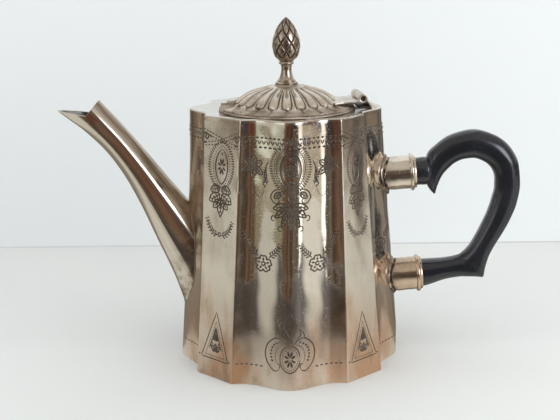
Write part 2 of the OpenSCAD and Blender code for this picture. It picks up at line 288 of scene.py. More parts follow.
def pierce(wall):
    # the strainer's holes behind the spout, three and two to a row, cut with one set of pegs
    size = {"radius": 1.5, "pitch": 6.0, "lowest": 43.0, "rows": 6, "sides": 20, "from": -60, "to": -36}
    sides, pitch = size["sides"], size["pitch"]
    steps = ((-1, 0, 1), (-0.5, 0.5))
    places = np.array([(0, column * pitch, size["lowest"] + row * pitch)
                       for row in range(size["rows"]) for column in steps[row % 2]])
    angle = np.arange(sides) * tau / sides
    ring = np.stack([0 * angle, size["radius"] * np.cos(angle), size["radius"] * np.sin(angle)], -1)
    peg = np.concatenate([ring + (size["from"], 0, 0), ring + (size["to"], 0, 0),
                          [(size["from"], 0, 0), (size["to"], 0, 0)]])
    ends = np.concatenate([fan(np.arange(sides)[::-1], 2 * sides),
                           fan(np.arange(sides, 2 * sides), 2 * sides + 1)])
    first = (np.arange(len(places)) * len(peg))[:, None, None]
    tool = putMesh("cutter", (places[:, None] + peg).reshape(-1, 3),
                   (gridFaces(2, sides) + first).reshape(-1, 4), (ends + first).reshape(-1, 3), turnOut=False)
    cut = wall.modifiers.new("holes", "BOOLEAN")
    cut.operation = "DIFFERENCE"
    cut.object = tool
    cut.solver = "EXACT"
    bpy.context.view_layer.update()
    pierced = bpy.data.meshes.new_from_object(wall.evaluated_get(bpy.context.evaluated_depsgraph_get()))
    wall.modifiers.clear()
    wall.data = pierced
    bpy.data.objects.remove(tool)


def innerRim(z):
    # x and y of the wall's inner face at height z
    s = np.arange(columns) * girth / columns
    return wallPoints(s, np.full(columns, z), -body["sheet"] * 0.97)[:, :2]


def topPlate():
    # a sheet from the wall's inner face to the round mouth, sunk towards it
    low, high = (corner.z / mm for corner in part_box("top_plate"))
    rim = innerRim(high)
    angle = np.arctan2(rim[:, 1], rim[:, 0])
    mouth = body["mouthRadius"] * np.stack([np.cos(angle), np.sin(angle)], -1)
    t = np.linspace(0, 1, 14)[:, None, None]
    spread = rim * (1 - t) + mouth * t
    uneven = 0.03 * (1 + ripple(spread[..., 0], spread[..., 1], 31)[..., None])
    sunk = body["plateDish"] * smooth(t, 0.02, 0.8) + uneven
    upper = np.concatenate([spread, high - sunk], -1)
    lower = np.concatenate([spread, low - sunk], -1)[::-1]
    return tube("top_sheet", np.concatenate([upper, lower]), closed=True, sharp=50)


def basePlate():
    # the floor of the pot, inside the wall's foot
    low, high = (corner.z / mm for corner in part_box("base_plate"))
    rim = innerRim(low)
    t = np.array([0.1, 0.4, 0.7, 0.9, 1.0])[:, None, None]
    rise = np.broadcast_to(0.4 * (1 - t ** 2), (5, columns, 1))
    under = np.concatenate([rim * t, low + 0.05 + rise], -1)
    over = np.concatenate([rim * t, high + rise * 0.5], -1)
    return tube("base_sheet", np.concatenate([under, over[::-1]]), sharp=50)


wall = bodyWall()
pierce(wall)
floorOfPot = basePlate()
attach(floorOfPot, "pot")
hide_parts("base_plate")
top = topPlate()
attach(top, "pot")
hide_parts("top_plate")
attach(wall, "pot")
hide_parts("body_shell")
print("body wall", len(wall.data.polygons))

engraving = {
    "line": 0.58,
    "bold": 0.80,
    "lift": 0.032,               # floor of a cut above the wall's skin
    "lip": 0.062,                # burr on each side of a cut
    "rowStep": 0.45,
    "weight": 1.42,              # scales every width
    "bandZ": 121.0,
    "baseZ": 10.6,
}


def even(points, step):
    # points at equal steps along a polyline
    points = np.asarray(points, float)
    along = np.concatenate([[0], np.cumsum(np.linalg.norm(np.diff(points, axis=0), axis=1))])
    at = np.linspace(0, along[-1], max(2, int(round(along[-1] / step)) + 1))
    return np.stack([np.interp(at, along, points[:, 0]), np.interp(at, along, points[:, 1])], -1)


def curve(*points):
    # a smooth path through a few points
    points = np.asarray(points, float)
    if len(points) > 2:
        padded = np.concatenate([2 * points[:1] - points[1:2], points, 2 * points[-1:] - points[-2:-1]])
        points = throughKnots(padded, np.linspace(0, len(points) - 1, 14 * len(points)))
    return even(points, engraving["rowStep"])


def arc(x, z, rx, rz, start, stop):
    # part of an ellipse, by degrees from the +x direction
    angle = np.radians(np.linspace(start, stop, 60))
    return even(np.stack([x + rx * np.cos(angle), z + rz * np.sin(angle)], -1), engraving["rowStep"])


def cut(path, width=None):
    # one line cut by the graver: it narrows at both ends
    width = width or engraving["line"]
    u = np.linspace(0, 1, len(path))
    reach = max(0.08, min(0.5, 0.8 / (engraving["rowStep"] * len(path))))
    return [(path, width * np.clip(np.minimum(u, 1 - u) / reach, 0.12, 1) ** 0.6)]


def drop(base, tip, width):
    # a filled tear: thin at its base, full towards its tip
    u = np.linspace(0, 1, 6)
    path = np.array(base) * (1 - u[:, None]) + np.array(tip) * u[:, None]
    return [(path, width * np.array([0.18, 0.55, 0.9, 1.0, 0.75, 0.12]))]


def dashes(path, dash, gap, width=None):
    # a broken line: each dash is a short cut that is full in its middle
    step = 0.1
    path = even(path, step)
    count = max(1, int(round(len(path) * step / (dash + gap))))
    period = (len(path) - 1) / count
    reach = max(2, dash / (dash + gap) * period)
    full = (width or engraving["bold"]) * np.array([0.35, 1, 1, 0.35])
    ends = [(int(k * period), int(min(len(path) - 1, k * period + reach))) for k in range(count)]
    return [(path[np.linspace(a, b, 4).astype(int)], full) for a, b in ends if b > a + 1]


def beside(path, distance):
    # the path shifted sideways
    return path + distance * leftOf(headings(path))


def hatch(path, inner, outer, step, slant=0.4, width=None):
    # short strokes that stand across a path
    path = even(path, step)
    low, high = beside(path, inner), beside(path, outer) + slant * headings(path)
    return [s for a, b in zip(low, high) for s in drop(a, b, width or engraving["bold"])]


def leaf(base, tip, half, veins=3):
    # an outlined leaf with a rib and side veins
    base, tip = np.array(base, float), np.array(tip, float)
    ahead = tip - base
    side = np.array([-ahead[1], ahead[0]]) / (np.linalg.norm(ahead) + 1e-9) * half
    lines = []
    for turn in (-1, 1):
        lines += cut(curve(base, base + 0.3 * ahead + turn * side * 0.95,
                           base + 0.68 * ahead + turn * side * 0.85, tip))
        for k in range(veins):
            root = base + (0.22 + 0.22 * k) * ahead
            lines += cut(curve(root, root + 0.16 * ahead + turn * side * (0.62 - 0.1 * k)),
                         engraving["line"] * 0.8)
    return lines + cut(curve(base, base + 0.8 * ahead), engraving["line"] * 0.8)


def spray(path, length, step, width=0.66):
    # a stem with pairs of small leaves that lean towards its tip
    lines = cut(path, engraving["line"] * 0.8)
    path = even(path, step)[1:]
    ahead = headings(path)
    side = leftOf(ahead)
    size = np.linspace(1.15, 0.7, len(path))[:, None] * length
    for turn in (-1, 1):
        for a, b in zip(path + 0.3 * side * turn, path + size * (0.55 * ahead + 0.85 * side * turn)):
            lines += drop(a, b, width)
    return lines


def drops(x, z, near, far, count, turn, width):
    # tears that point away from a middle, between two reaches in x and z
    lines = []
    for k in range(count):
        heading = np.array([math.cos(turn + k * tau / count), math.sin(turn + k * tau / count)])
        lines += drop(np.array([x, z]) + heading * near, np.array([x, z]) + heading * far, width)
    return lines


def flower(x, z, radius, petals, turn=0.0):
    # a round of notched petals about a ringed middle
    angle = np.linspace(0, tau, 20 * petals + 1)
    edge = np.abs(np.cos(petals * (angle - turn) / 2)) ** 0.7
    notch = 0.16 * np.exp(-((((angle - turn) * petals / tau + 0.5) % 1 - 0.5) / 0.12) ** 2)
    r = radius * (0.58 + 0.42 * edge - notch)
    lines = cut(even(np.stack([x + r * np.cos(angle), z + r * np.sin(angle)], -1), 0.35))
    lines += cut(arc(x, z, radius * 0.2, radius * 0.2, 0, 360))
    return lines + drops(x, z, (radius * 0.3, radius * 0.3), (radius * 0.68, radius * 0.68), petals, turn,
                         engraving["bold"])


def daisy(x, z, rx, rz, petals, width=0.9):
    # dark drops in an oval
    return drops(x, z, (0.22 * rx, 0.22 * rz), (rx, rz), petals, tau / petals / 2, width)


def pointedOval(z, halfWidth, halfHeight, sharpness=0.72):
    # an upright oval with points above and below
    u = np.cos(np.linspace(0, math.pi, 90))
    x = halfWidth * (1 - u * u) ** sharpness
    right = np.stack([x, z + halfHeight * u], -1)
    return even(np.concatenate([right, (right * (-1, 1))[::-1][1:]]), engraving["rowStep"])


def mirrored(lines):
    # the lines, and the same again on the other side of the middle
    return lines + [(path * (-1, 1), width) for path, width in lines]


def moved(lines, x, z=0.0):
    return [(path + (x, z), width) for path, width in lines]


def borderBand(half):
    # the running border below the top edge: two dashed lines with small chevrons between them
    z = engraving["bandZ"]
    lines = dashes(curve((-half, z + 2.4), (half, z + 2.4)), 1.3, 0.8)
    lines += dashes(curve((-half, z - 2.2), (half, z - 2.2)), 1.5, 0.9)
    count = int(2 * half / 2.1)
    for k in range(count):
        x = -half + (k + 0.5) * 2 * half / count
        for turn in (-1, 1):
            lines += drop((x, z - 0.9), (x + 0.85 * turn, z + 1.2), 0.5)
    return lines


def flatPanel():
    # crossed border lines, a pointed oval over leaves, a garland, and a triangle near the base
    lines = []
    for turn in (-1, 1):
        for rise in (0.0, 1.7):
            lines += dashes(curve((-9.5 * turn, 117.4 + rise), (-3 * turn, 118.6 + rise),
                                  (11.0 * turn, 124.2 + rise)), 1.1, 0.6, 0.5)
        for k in range(4):
            lines += drop((turn * (6.2 + 1.3 * k), 121.2 + 0.3 * k),
                          (turn * (6.6 + 1.3 * k), 122.9 + 0.35 * k), 0.6)
    lines += cut(pointedOval(107.8, 3.7, 8.6))
    lines += dashes(pointedOval(107.9, 5.0, 10.2), 0.5, 0.75, 0.55)
    rim = pointedOval(108.1, 6.2, 11.3)
    lines += hatch(rim, -0.1, 1.9, 1.15, 0.5, 0.62)
    lines += daisy(0, 107.8, 2.5, 4.4, 8, 0.95)
    lines += cut(curve((0, 113.2), (0, 115.0)))
    lines += mirrored(leaf((0.3, 97.4), (6.4, 95.4), 2.0) + leaf((0.4, 94.2), (7.0, 90.0), 2.3)
                      + leaf((0.2, 91.6), (4.6, 86.8), 1.6, 2) + cut(arc(3.4, 97.4, 1.3, 1.0, -20, 200)))
    lines += leaf((0, 92.6), (0, 82.8), 2.0, 4)
    lines += mirrored(spray(curve((0.6, 73.6), (3.4, 74.2), (6.2, 76.8), (8.0, 80.8)), 1.9, 1.55))
    lines += cut(arc(0, 74.0, 0.9, 0.9, 0, 360))
    low, high, half = 9.9, 34.4, 9.6
    corners = [(0, high), (half, low), (-half, low), (0, high)]
    for a, b in zip(corners, corners[1:]):
        lines += cut(curve(a, b), 0.46)
    inner = [(0, high - 5.2), (half - 2.7, low + 1.5), (2.7 - half, low + 1.5), (0, high - 5.2)]
    for a, b in zip(inner, inner[1:]):
        lines += dashes(curve(a, b), 0.55, 0.6, 0.62)
    lines += mirrored(cut(curve((0, 26.4), (2.0, 20.8), (4.4, 14.9))) + leaf((0.3, 13.7), (3.0, 17.0), 1.0, 1)
                      + cut(arc(1.5, 18.9, 1.2, 1.3, -90, 90)) + leaf((0.4, 19.4), (1.5, 22.6), 0.6, 0))
    lines += leaf((0, 14.2), (0, 18.2), 0.9, 1) + leaf((0, 21.0), (0, 25.6), 0.8, 1)
    return lines


def bowMedallion():
    # the large pointed oval under the border, with its scrolls, petals and tail
    lines = cut(pointedOval(108.9, 5.0, 8.7, 0.6)) + cut(pointedOval(108.9, 4.3, 7.9, 0.6), 0.3)
    lines += dashes(pointedOval(109.2, 6.2, 10.0, 0.62), 0.5, 0.65, 0.6)
    lines += cut(pointedOval(109.5, 7.0, 10.9, 0.64), 0.34)
    lines += dashes(pointedOval(109.5, 7.9, 11.6, 0.65), 0.6, 0.6, 0.6)
    lines += hatch(pointedOval(109.7, 8.5, 12.0, 0.66), 0.0, 1.7, 1.1, 0.5, 0.6)
    lines += flower(0, 108.0, 3.0, 6, 0.3) + mirrored(cut(arc(1.5, 113.3, 1.2, 1.3, -60, 200))
                                                     + cut(arc(1.6, 103.3, 1.3, 1.1, -200, 60)))
    lines += mirrored(cut(curve((4.0, 99.9), (8.0, 98.6), (9.6, 95.2), (7.4, 92.4),
                                (5.4, 93.6), (6.4, 95.6)), 0.46)
                      + leaf((4.6, 98.2), (8.0, 94.8), 1.2, 2)
                      + leaf((0.8, 92.0), (8.6, 89.8), 1.7, 3) + leaf((0.8, 91.4), (7.6, 85.4), 1.6, 3)
                      + leaf((0.5, 90.8), (4.4, 80.8), 1.3, 3)
                      + cut(arc(8.2, 85.2, 1.1, 1.3, -120, 150), 0.44)
                      + cut(arc(5.0, 80.4, 1.0, 1.2, -120, 150), 0.44))
    lines += leaf((0, 98.6), (0, 92.4), 1.6, 3) + leaf((0, 90.6), (0, 79.8), 1.4, 4)
    lines += dashes(curve((0, 79.0), (0, 74.0)), 0.8, 0.7, 0.6)
    return lines


def bowSwags():
    # leaf knots beside the medallion, with dotted garlands under them
    knot = []
    for tip, half, veins in (((0.6, 6.2), 1.5, 2), ((5.2, 3.4), 1.4, 2), ((5.4, -2.4), 1.4, 2),
                             ((1.0, -5.8), 1.5, 2), ((-4.2, -4.2), 1.3, 2), ((-4.0, 2.6), 1.3, 1)):
        knot += leaf((0, 0), tip, half, veins)
    knot += cut(arc(0, 0, 0.9, 0.9, 0, 360), 0.5)
    side = moved(knot, 17.6, 109.6)
    side += cut(curve((10.6, 112.6), (12.0, 109.0), (11.6, 104.6), (13.4, 101.4), (12.0, 99.8)), 0.44)
    side += spray(curve((11.2, 101.0), (12.6, 104.8), (12.2, 108.8)), 1.3, 1.2, 0.5)
    side += dashes(curve((12.2, 100.8), (13.4, 96.6), (15.4, 95.0), (17.2, 97.2), (17.8, 102.2)),
                   0.5, 0.7, 0.58)
    side += dashes(curve((21.0, 102.6), (22.0, 98.0), (23.6, 96.4)), 0.5, 0.7, 0.58)
    return mirrored(side)


def bowSprays():
    # a flower at the foot of each of two vees of leaves
    side = flower(13.2, 62.2, 4.4, 5, math.pi / 2)
    side += spray(curve((15.6, 65.6), (18.0, 68.4), (20.6, 72.0), (22.4, 77.0)), 2.0, 1.6, 0.72)
    side += spray(curve((10.6, 65.4), (8.6, 67.2), (6.6, 69.4), (5.2, 72.2)), 1.9, 1.5, 0.72)
    return mirrored(side)


def basePalmette():
    # an oval daisy between two scrolls, with a bud above
    lines = cut(arc(0, 16.0, 4.9, 6.9, 0, 360), 0.46) + dashes(arc(0, 16.0, 3.9, 5.8, 0, 360), 0.5, 0.7, 0.55)
    lines += daisy(0, 16.0, 2.9, 4.5, 8, 1.0)
    side = cut(curve((5.2, 11.0), (6.4, 9.8), (8.4, 10.0), (11.2, 13.6), (12.1, 18.4), (10.6, 23.2),
                     (7.0, 26.2), (3.6, 25.4), (2.2, 23.8), (1.0, 24.6)), 0.48)
    side += cut(curve((5.2, 11.0), (5.0, 13.0), (6.6, 13.6)), 0.44)
    side += dashes(curve((4.6, 24.6), (8.0, 22.4), (9.4, 18.0), (8.4, 13.6)), 1.0, 0.7, 0.85)
    side += dashes(curve((3.6, 23.4), (6.2, 21.2), (7.2, 17.2), (6.6, 13.6)), 0.5, 0.6, 0.55)
    side += cut(curve((3.4, 26.2), (5.2, 28.0), (4.6, 31.0), (6.6, 28.6), (7.0, 26.2)), 0.42)
    side += cut(curve((0, 39.2), (2.2, 35.4), (3.0, 32.2), (1.8, 29.0), (0, 27.0)), 0.44)
    side += cut(curve((0, 26.6), (1.4, 25.2), (1.2, 23.6)), 0.4)
    lines += mirrored(side)
    for k in range(4):
        lines += cut(curve((-1.4 + 0.2 * k, 30.2 + 1.5 * k), (1.4 - 0.2 * k, 30.8 + 1.5 * k)), 0.34)
    return lines


def baseLine(low, high):
    # the dashed line near the base
    z = engraving["baseZ"]
    return dashes(curve((low, z), (high, z)), 1.7, 0.9, 0.6)


def engrave(name, middle, lines):
    # every cut is a strip with a dark floor between two thin burrs; its underside is sunk in the wall
    u = np.linspace(-girth / 8, girth / 8, 1200)
    plan = aroundPlan(middle + u)[0]
    facing = aroundPlan(np.array([middle]))[1][0]
    sideways = (plan * np.conj(facing)).imag
    across = np.array([-0.5, -0.40, 0.0, 0.40, 0.5, 0.0])
    lift = np.array([-0.03, engraving["lip"], engraving["lift"], engraving["lip"], -0.03, -0.12])
    dark = np.array([0.05, 0.46, 1.0, 0.46, 0.05, 1.0])
    offsets, lifts, darks, quads, triangles, first = [], [], [], [], [], 0
    cap = np.array([[0, 1, 2], [0, 2, 3], [0, 3, 4], [0, 4, 5]])
    for path, width in lines:
        spread = across[None, :] * width[:, None] * engraving["weight"]
        offsets.append((path[:, None] + leftOf(headings(path))[:, None] * spread[..., None]).reshape(-1, 2))
        lifts.append(np.tile(lift, len(path)))
        darks.append(np.tile(dark, len(path)))
        quads.append(gridFaces(len(path), 6, first=first))
        triangles += [cap[:, ::-1] + first, cap + first + 6 * (len(path) - 1)]
        first += 6 * len(path)
    x, z = np.concatenate(offsets).T
    s = middle + np.interp(x / taper(z), sideways, u)
    points = wallPoints(s, z, np.concatenate(lifts))
    piece = putMesh(name, points, np.concatenate(quads), np.concatenate(triangles),
                    {"cut": np.concatenate(darks)}, sharp=80)
    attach(piece, "pot")
    return piece


def engraveAll():
    # bowed sides face right, back, left and front; the flats lie between them
    pieces = []
    flat = flatPanel() + baseLine(-11.6, -9.6) + baseLine(9.6, 11.6)
    band = borderBand(27.0)
    plain = band + baseLine(-27, 27)
    rich = band + bowMedallion() + bowSwags() + bowSprays() + basePalmette()
    rich += baseLine(-27, -12.6) + baseLine(12.6, 27)
    sides = {"right": plain + bowSprays(), "back": rich, "left": plain + bowSwags(), "front": rich}
    for k, (side, lines) in enumerate(sides.items()):
        pieces.append(engrave(side + "_engraving", bowMiddle + k * girth / 4, lines))
        pieces.append(engrave(side + "_flat_engraving", flatMiddle + k * girth / 4, flat))
    return pieces


engraved = engraveAll()
print("engraving", sum(len(piece.data.polygons) for piece in engraved))

spout = {
    # underside x and z, upper side x and z, half width
    "stations": [
        (-52.3, 22.0, -19.0, 43.5, 12.6),
        (-59.6, 44.0, -33.5, 61.2, 12.0),
        (-68.1, 63.8, -46.6, 77.1, 11.0),
        (-76.0, 82.1, -59.2, 92.4, 9.8),
        (-83.8, 97.2, -70.2, 106.3, 8.6),
        (-92.8, 110.2, -81.2, 119.8, 7.8),
        (-103.2, 120.6, -92.6, 132.8, 7.5),
        (-112.0, 127.4, -100.4, 141.2, 6.2),
        (-121.0, 134.3, -108.0, 149.0, 3.6),
    ],
    "lipCorner": (-101.6, 129.1),
    "lipSlope": -0.14,
    "hoodEdge": (0.64, 0.77),
    "sheet": 1.0,
    "crispness": 15,             # power of the eight-sided section: higher is sharper
    "columns": 121,
    "rows": 110,
}


def spoutSkin(inset):
    # half a skin: an eight-sided section, rounded by a power mean, carried along the stations and
    # ended where it meets the wall below and the mouth's edges above
    knots = np.array(spout["stations"])
    u = np.linspace(0, len(knots) - 1, 900)
    s = throughKnots(np.concatenate([knots[:1], knots, knots[-1:]]), u)
    low, high, half = s[:, 0:2], s[:, 2:4], s[:, 4]
    reach = np.linalg.norm(high - low, axis=1) / 2
    angle = np.linspace(0, math.pi, spout["columns"])      # from the underside round to the top
    across, up = np.sin(angle), -np.cos(angle)
    facets = np.arange(8) * math.pi / 4
    facing = np.abs(across[:, None] * np.sin(facets) + up[:, None] * np.cos(facets))
    size = (facing ** spout["crispness"]).sum(1) ** (-1 / spout["crispness"])
    across, up = across * size, up * size
    across, up = across / np.abs(across).max(), up / np.abs(up).max()
    middle = (low + high) / 2
    along = (high - low) / (2 * reach[:, None])
    xz = middle[:, None, :] + along[:, None, :] * ((reach - inset)[:, None, None] * up[None, :, None])
    y = (half - inset)[:, None] * across[None, :]
    track = np.stack([xz[..., 0], y, xz[..., 1]], -1)
    corner, edge = np.array(spout["lipCorner"]), np.array(spout["hoodEdge"])
    overLip = track[..., 2] - (corner[1] + (track[..., 0] - corner[0]) * spout["lipSlope"])
    pastHood = -((track[..., 0] - corner[0]) * edge[1] - (track[..., 2] - corner[1]) * edge[0])
    beyond = np.where(u[:, None] >= 4, np.minimum(overLip, pastHood), -1)
    outside = outsideBody(track) > 0
    firstRow = np.argmax(outside, 0)
    lastRow = np.argmax(beyond > 0, 0)
    lastRow = np.where((beyond > 0).any(0), lastRow, len(track) - 1)
    j = np.arange(spout["columns"])

    def crossing(field, row):
        # where the field passes zero between the row before and this one
        before, after = field[row - 1, j], field[row, j]
        return row - 1 + np.clip(before / (before - after + 1e-12), 0, 1)

    start = crossing(outsideBody(track), np.maximum(firstRow, 1))
    end = crossing(beyond, np.maximum(lastRow, 1))
    rows = start + (end - start) * np.linspace(0, 1, spout["rows"])[:, None]
    lowRow = np.clip(rows.astype(int), 0, len(track) - 2)
    part = (rows - lowRow)[..., None]
    return track[lowRow, j] * (1 - part) + track[lowRow + 1, j] * part


def spoutHalf(name, node, side):
    outer, inner = spoutSkin(0), spoutSkin(spout["sheet"])
    t = np.array([0.2, 0.5, 0.8])[:, None, None]
    lip = outer[-1] * (1 - t) + inner[-1] * t + (0, 0, 0.18) * np.sin(math.pi * t)
    section = np.concatenate([outer, lip, inner[::-1]])
    rows, count = section.shape[:2]
    points = section.reshape(-1, 3) * (1, side, 1)
    # the seam's edge: a strip between the outer and the inner skin along the first and last columns
    i = np.arange(len(outer) - 1)
    strip = np.stack([i, i + 1, rows - 2 - i, rows - 1 - i], -1)
    end = len(outer)
    strip = np.concatenate([strip, [[end - 1, end, end + 2, end + 3]]]) * count
    tip = np.array([[end, end + 1, end + 2]]) * count
    quads = np.concatenate([gridFaces(rows, count, wrapRows=True, wrapColumns=False),
                            strip, strip[:, ::-1] + count - 1])
    triangles = np.concatenate([tip, tip[:, ::-1] + count - 1])
    around = np.broadcast_to(np.linspace(0, 1, count), section.shape[:2])
    along = np.concatenate([np.linspace(0, 1, len(outer)), np.ones(len(lip)), np.linspace(1, 0, len(inner))])
    inside = np.concatenate([np.zeros(len(outer)), np.full(len(lip), 0.4), np.ones(len(inner))])
    values = {"around": around, "along": np.repeat(along, count), "inside": np.repeat(inside, count)}
    piece = putMesh(name, points, quads, triangles, values, sharp=50)
    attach(piece, "pot")
    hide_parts(node)
    return piece, outer


nearHalf, spoutOuter = spoutHalf("spout_near_skin", "spout_near_half", -1)
farHalf, _ = spoutHalf("spout_far_skin", "spout_far_half", 1)


def bead(name, path, radius, uneven, seed):
    # a round bead of solder or wire along a closed path
    ahead = np.roll(path, -1, 0) - np.roll(path, 1, 0)
    ahead /= np.linalg.norm(ahead, axis=1, keepdims=True)
    out = np.cross(ahead, (0.13, 0.21, 0.97))
    out /= np.linalg.norm(out, axis=1, keepdims=True)
    up = np.cross(out, ahead)
    count = np.arange(len(path))
    size = radius * (1 + uneven * ripple(count, 0 * count, seed, shortest=5, longest=len(path) / 2))
    angle = np.arange(12) * tau / 12
    rings = path[:, None] + size[:, None, None] * (out[:, None] * np.cos(angle)[None, :, None]
                                                  + up[:, None] * np.sin(angle)[None, :, None])
    return tube(name, rings, closed=True)


rootHalf = spoutOuter[0]
rootLoop = np.concatenate([rootHalf * (1, -1, 1), rootHalf[::-1][1:-1]])
spoutSolder = bead("spout_solder", rootLoop[::2], 0.38, uneven=0.35, seed=5)
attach(spoutSolder, "pot")
print("spout")

socket = {
    "upperZ": 96.4,
    "lowerZ": 42.3,
    "radius": 8.6,
    "bore": 7.1,
    "length": 16.5,
    "beadRadius": 9.75,
    "beadWidth": 3.4,
}
wallTilt = math.atan(body["bowRadius"] * (1 - body["topScale"]) / body["height"])


def atSocket(z, rings):
    # rings turned about the socket's axis, moved from the upright axis to the wall at height z
    c, s = math.cos(math.pi / 2 - wallTilt), math.sin(math.pi / 2 - wallTilt)
    x, y, up = rings[..., 0], rings[..., 1], rings[..., 2]
    return np.stack([body["bowRadius"] * taper(z) + x * c + up * s, y, z - x * s + up * c], -1)


def socketPieces(node, z, seed):
    # a sleeve soldered to the wall at height z, with a bead at its open end
    radius, bore, length = socket["radius"], socket["bore"], socket["length"]
    width, big = socket["beadWidth"], socket["beadRadius"]
    angle = np.arange(96) * tau / 96
    along = np.linspace(-9, 6, 400)
    test = atSocket(z, swung(radius, angle, along[:, None]))
    foot = along[np.argmax(outsideBody(test) > 0, 0)]
    rise = np.linspace(0, 1, 60)[:, None]
    end = length - width
    outerZ = foot + (end - foot) * rise
    away = outerZ - foot
    # a soldered collar at the wall, a groove, then the plain sleeve; lumpier underneath
    collar = 1.0 * (1 - smooth(away, 0.2, 1.5)) - 0.4 * np.exp(-((away - 1.6) / 0.35) ** 2)
    under = 0.5 + 0.5 * np.cos(angle)
    lumps = ripple(angle * 8, rise * 14, seed, shortest=4, longest=12)
    uneven = (0.05 + 0.16 * under * np.exp(-away / 3)) * lumps
    outer = swung(radius + collar + uneven * (1 - rise), angle, outerZ)
    inner = swung(bore, angle, outerZ[::-1])
    stain = np.exp(-away / 2.4) * (0.5 + 0.5 * under) + 0.8 * np.exp(-((away - 1.6) / 0.5) ** 2)
    piece = tube(node + "_sleeve", atSocket(z, np.concatenate([outer, inner])), closed=True, sharp=40,
                 values={"stain": np.concatenate([stain, np.ones(stain.shape)])})
    # the bead: a torus of (radius, height) rows between two small steps
    arc = np.linspace(-math.pi / 2, math.pi / 2, 13)
    rounded = np.stack([big - 1.1 + 1.1 * np.cos(arc), 1.1 + 1.1 * np.sin(arc)], -1)
    step = np.array([(radius - 0.1, 2.35), (radius - 0.15, width - 0.35), (radius - 0.4, width - 0.08),
                     (radius - 0.75, width), (bore + 0.02, width), (bore + 0.02, 0.0), (radius - 0.2, 0.0)])
    profile = np.concatenate([rounded, step]) + (0, end)
    ring = tube(node + "_ring", atSocket(z, turnedRings(profile)), closed=True, sharp=50)
    solderAt = atSocket(z, swung(radius + 1.0, angle, foot))
    k = taper(solderAt[:, 2])
    plan = sideDepth(solderAt[:, 1] / k) + 1j * solderAt[:, 1] / k
    solderAt[:, 0] = k * plan.real + handMade(plan, solderAt[:, 2])
    seam = bead(node + "_solder", solderAt, 0.5, uneven=0.5, seed=seed)
    for part, replaced in ((piece, node), (ring, node + "_bead")):
        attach(part, "pot")
        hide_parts(replaced)
    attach(seam, "pot")
    return piece, ring, seam


upperSocket, upperBead, upperSolder = socketPieces("upper_socket", socket["upperZ"], 11)
lowerSocket, lowerBead, lowerSolder = socketPieces("lower_socket", socket["lowerZ"], 12)
print("sockets")

handle = {
    # back x and z, belly x and z, share of the thickness, how square the back is
    "stations": [
        (75.7, 85.6, 76.3, 85.9, 0.06, 0.0),
        (73.9, 87.3, 77.0, 88.9, 0.40, 0.0),
        (71.8, 90.6, 78.3, 92.6, 0.70, 0.0),
        (70.5, 97.6, 80.1, 96.2, 0.90, 0.0),
        (71.5, 105.9, 82.4, 98.8, 1.00, 0.0),
        (76.7, 111.9, 86.0, 102.0, 1.04, 0.0),
        (84.4, 116.8, 90.4, 103.9, 1.06, 0.0),
        (95.5, 119.2, 95.3, 104.4, 1.07, 0.0),
        (106.3, 116.2, 100.8, 102.5, 1.07, 0.0),
        (114.6, 109.6, 104.9, 98.6, 1.06, 0.0),
        (118.9, 100.6, 106.6, 93.8, 1.04, 0.0),
        (119.9, 90.0, 106.6, 88.8, 1.02, 0.0),
        (118.5, 80.6, 105.4, 83.0, 1.00, 0.0),
        (115.6, 72.6, 103.4, 76.4, 0.98, 0.05),
        (111.7, 64.9, 100.5, 69.6, 0.96, 0.1),
        (107.7, 58.3, 97.2, 62.8, 0.95, 0.3),
        (104.6, 52.2, 94.0, 57.4, 0.94, 0.6),
        (102.9, 46.6, 91.4, 54.6, 0.92, 0.9),
        (101.7, 41.2, 89.2, 53.0, 0.88, 1.0),
        (96.6, 41.5, 87.0, 52.3, 0.90, 0.8),
        (91.6, 41.5, 84.4, 51.7, 0.92, 0.5),
        (86.4, 40.9, 81.8, 51.3, 0.95, 0.2),
        (80.8, 39.6, 78.6, 51.0, 1.00, 0.0),
        (75.4, 37.7, 75.0, 50.8, 1.06, 0.0),
        (70.9, 36.4, 69.9, 50.6, 1.09, 0.0),
        (64.0, 35.6, 63.0, 50.0, 1.09, 0.0),
        (57.0, 35.1, 56.0, 49.4, 1.09, 0.0),
    ],
    "half": 6.6,
    "columns": 96,
    "rows": 420,
}


def handleSkin():
    # a section with a back and a belly carried along the stations; round, but the back turns
    # square at the heel
    s = smoothCurve(handle["stations"], handle["rows"])
    back, belly, share, square = s[:, 0:2], s[:, 2:4], s[:, 4], s[:, 5]
    angle = np.arange(handle["columns"]) * tau / handle["columns"]
    c, w = np.cos(angle)[None], np.sin(angle)[None]
    power = np.where(c > 0, 0.92 - 0.42 * square[:, None], 0.92)
    c, w = np.sign(c) * np.abs(c) ** power, np.sign(w) * np.abs(w) ** power
    middle, half = (back + belly) / 2, (back - belly) / 2
    return np.stack([middle[:, :1] + half[:, :1] * c, handle["half"] * share[:, None] * w,
                     middle[:, 1:] + half[:, 1:] * c], -1)


grip = tube("grip", handleSkin(), sharp=70)
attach(grip, "pot")
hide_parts("handle")
tenonProfile = smoothCurve([(7.1, 1.0), (7.1, 8.0), (7.1, 16.0), (7.12, 18.5), (7.25, 20.2), (7.0, 22.4),
                            (5.5, 24.5)], 60)
tenon = tube("grip_tenon", atSocket(socket["upperZ"], turnedRings(tenonProfile)), sharp=60)
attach(tenon, "pot")
print("handle")

lid = {
    "rimRadius": 34.6,
    "domeRadius": 28.3,
    "crownRadius": 7.0,
    "domeHeight": 10.9,
    "steepness": 2.3,
    "rimZ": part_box("lid_dome")[0].z / mm - body["plateDish"],
    "rimThick": 0.9,
    "lobes": 22,
    "lobeHeight": 1.05,
    "lobeFoot": 26.4,
    "lobeHead": 8.6,
}


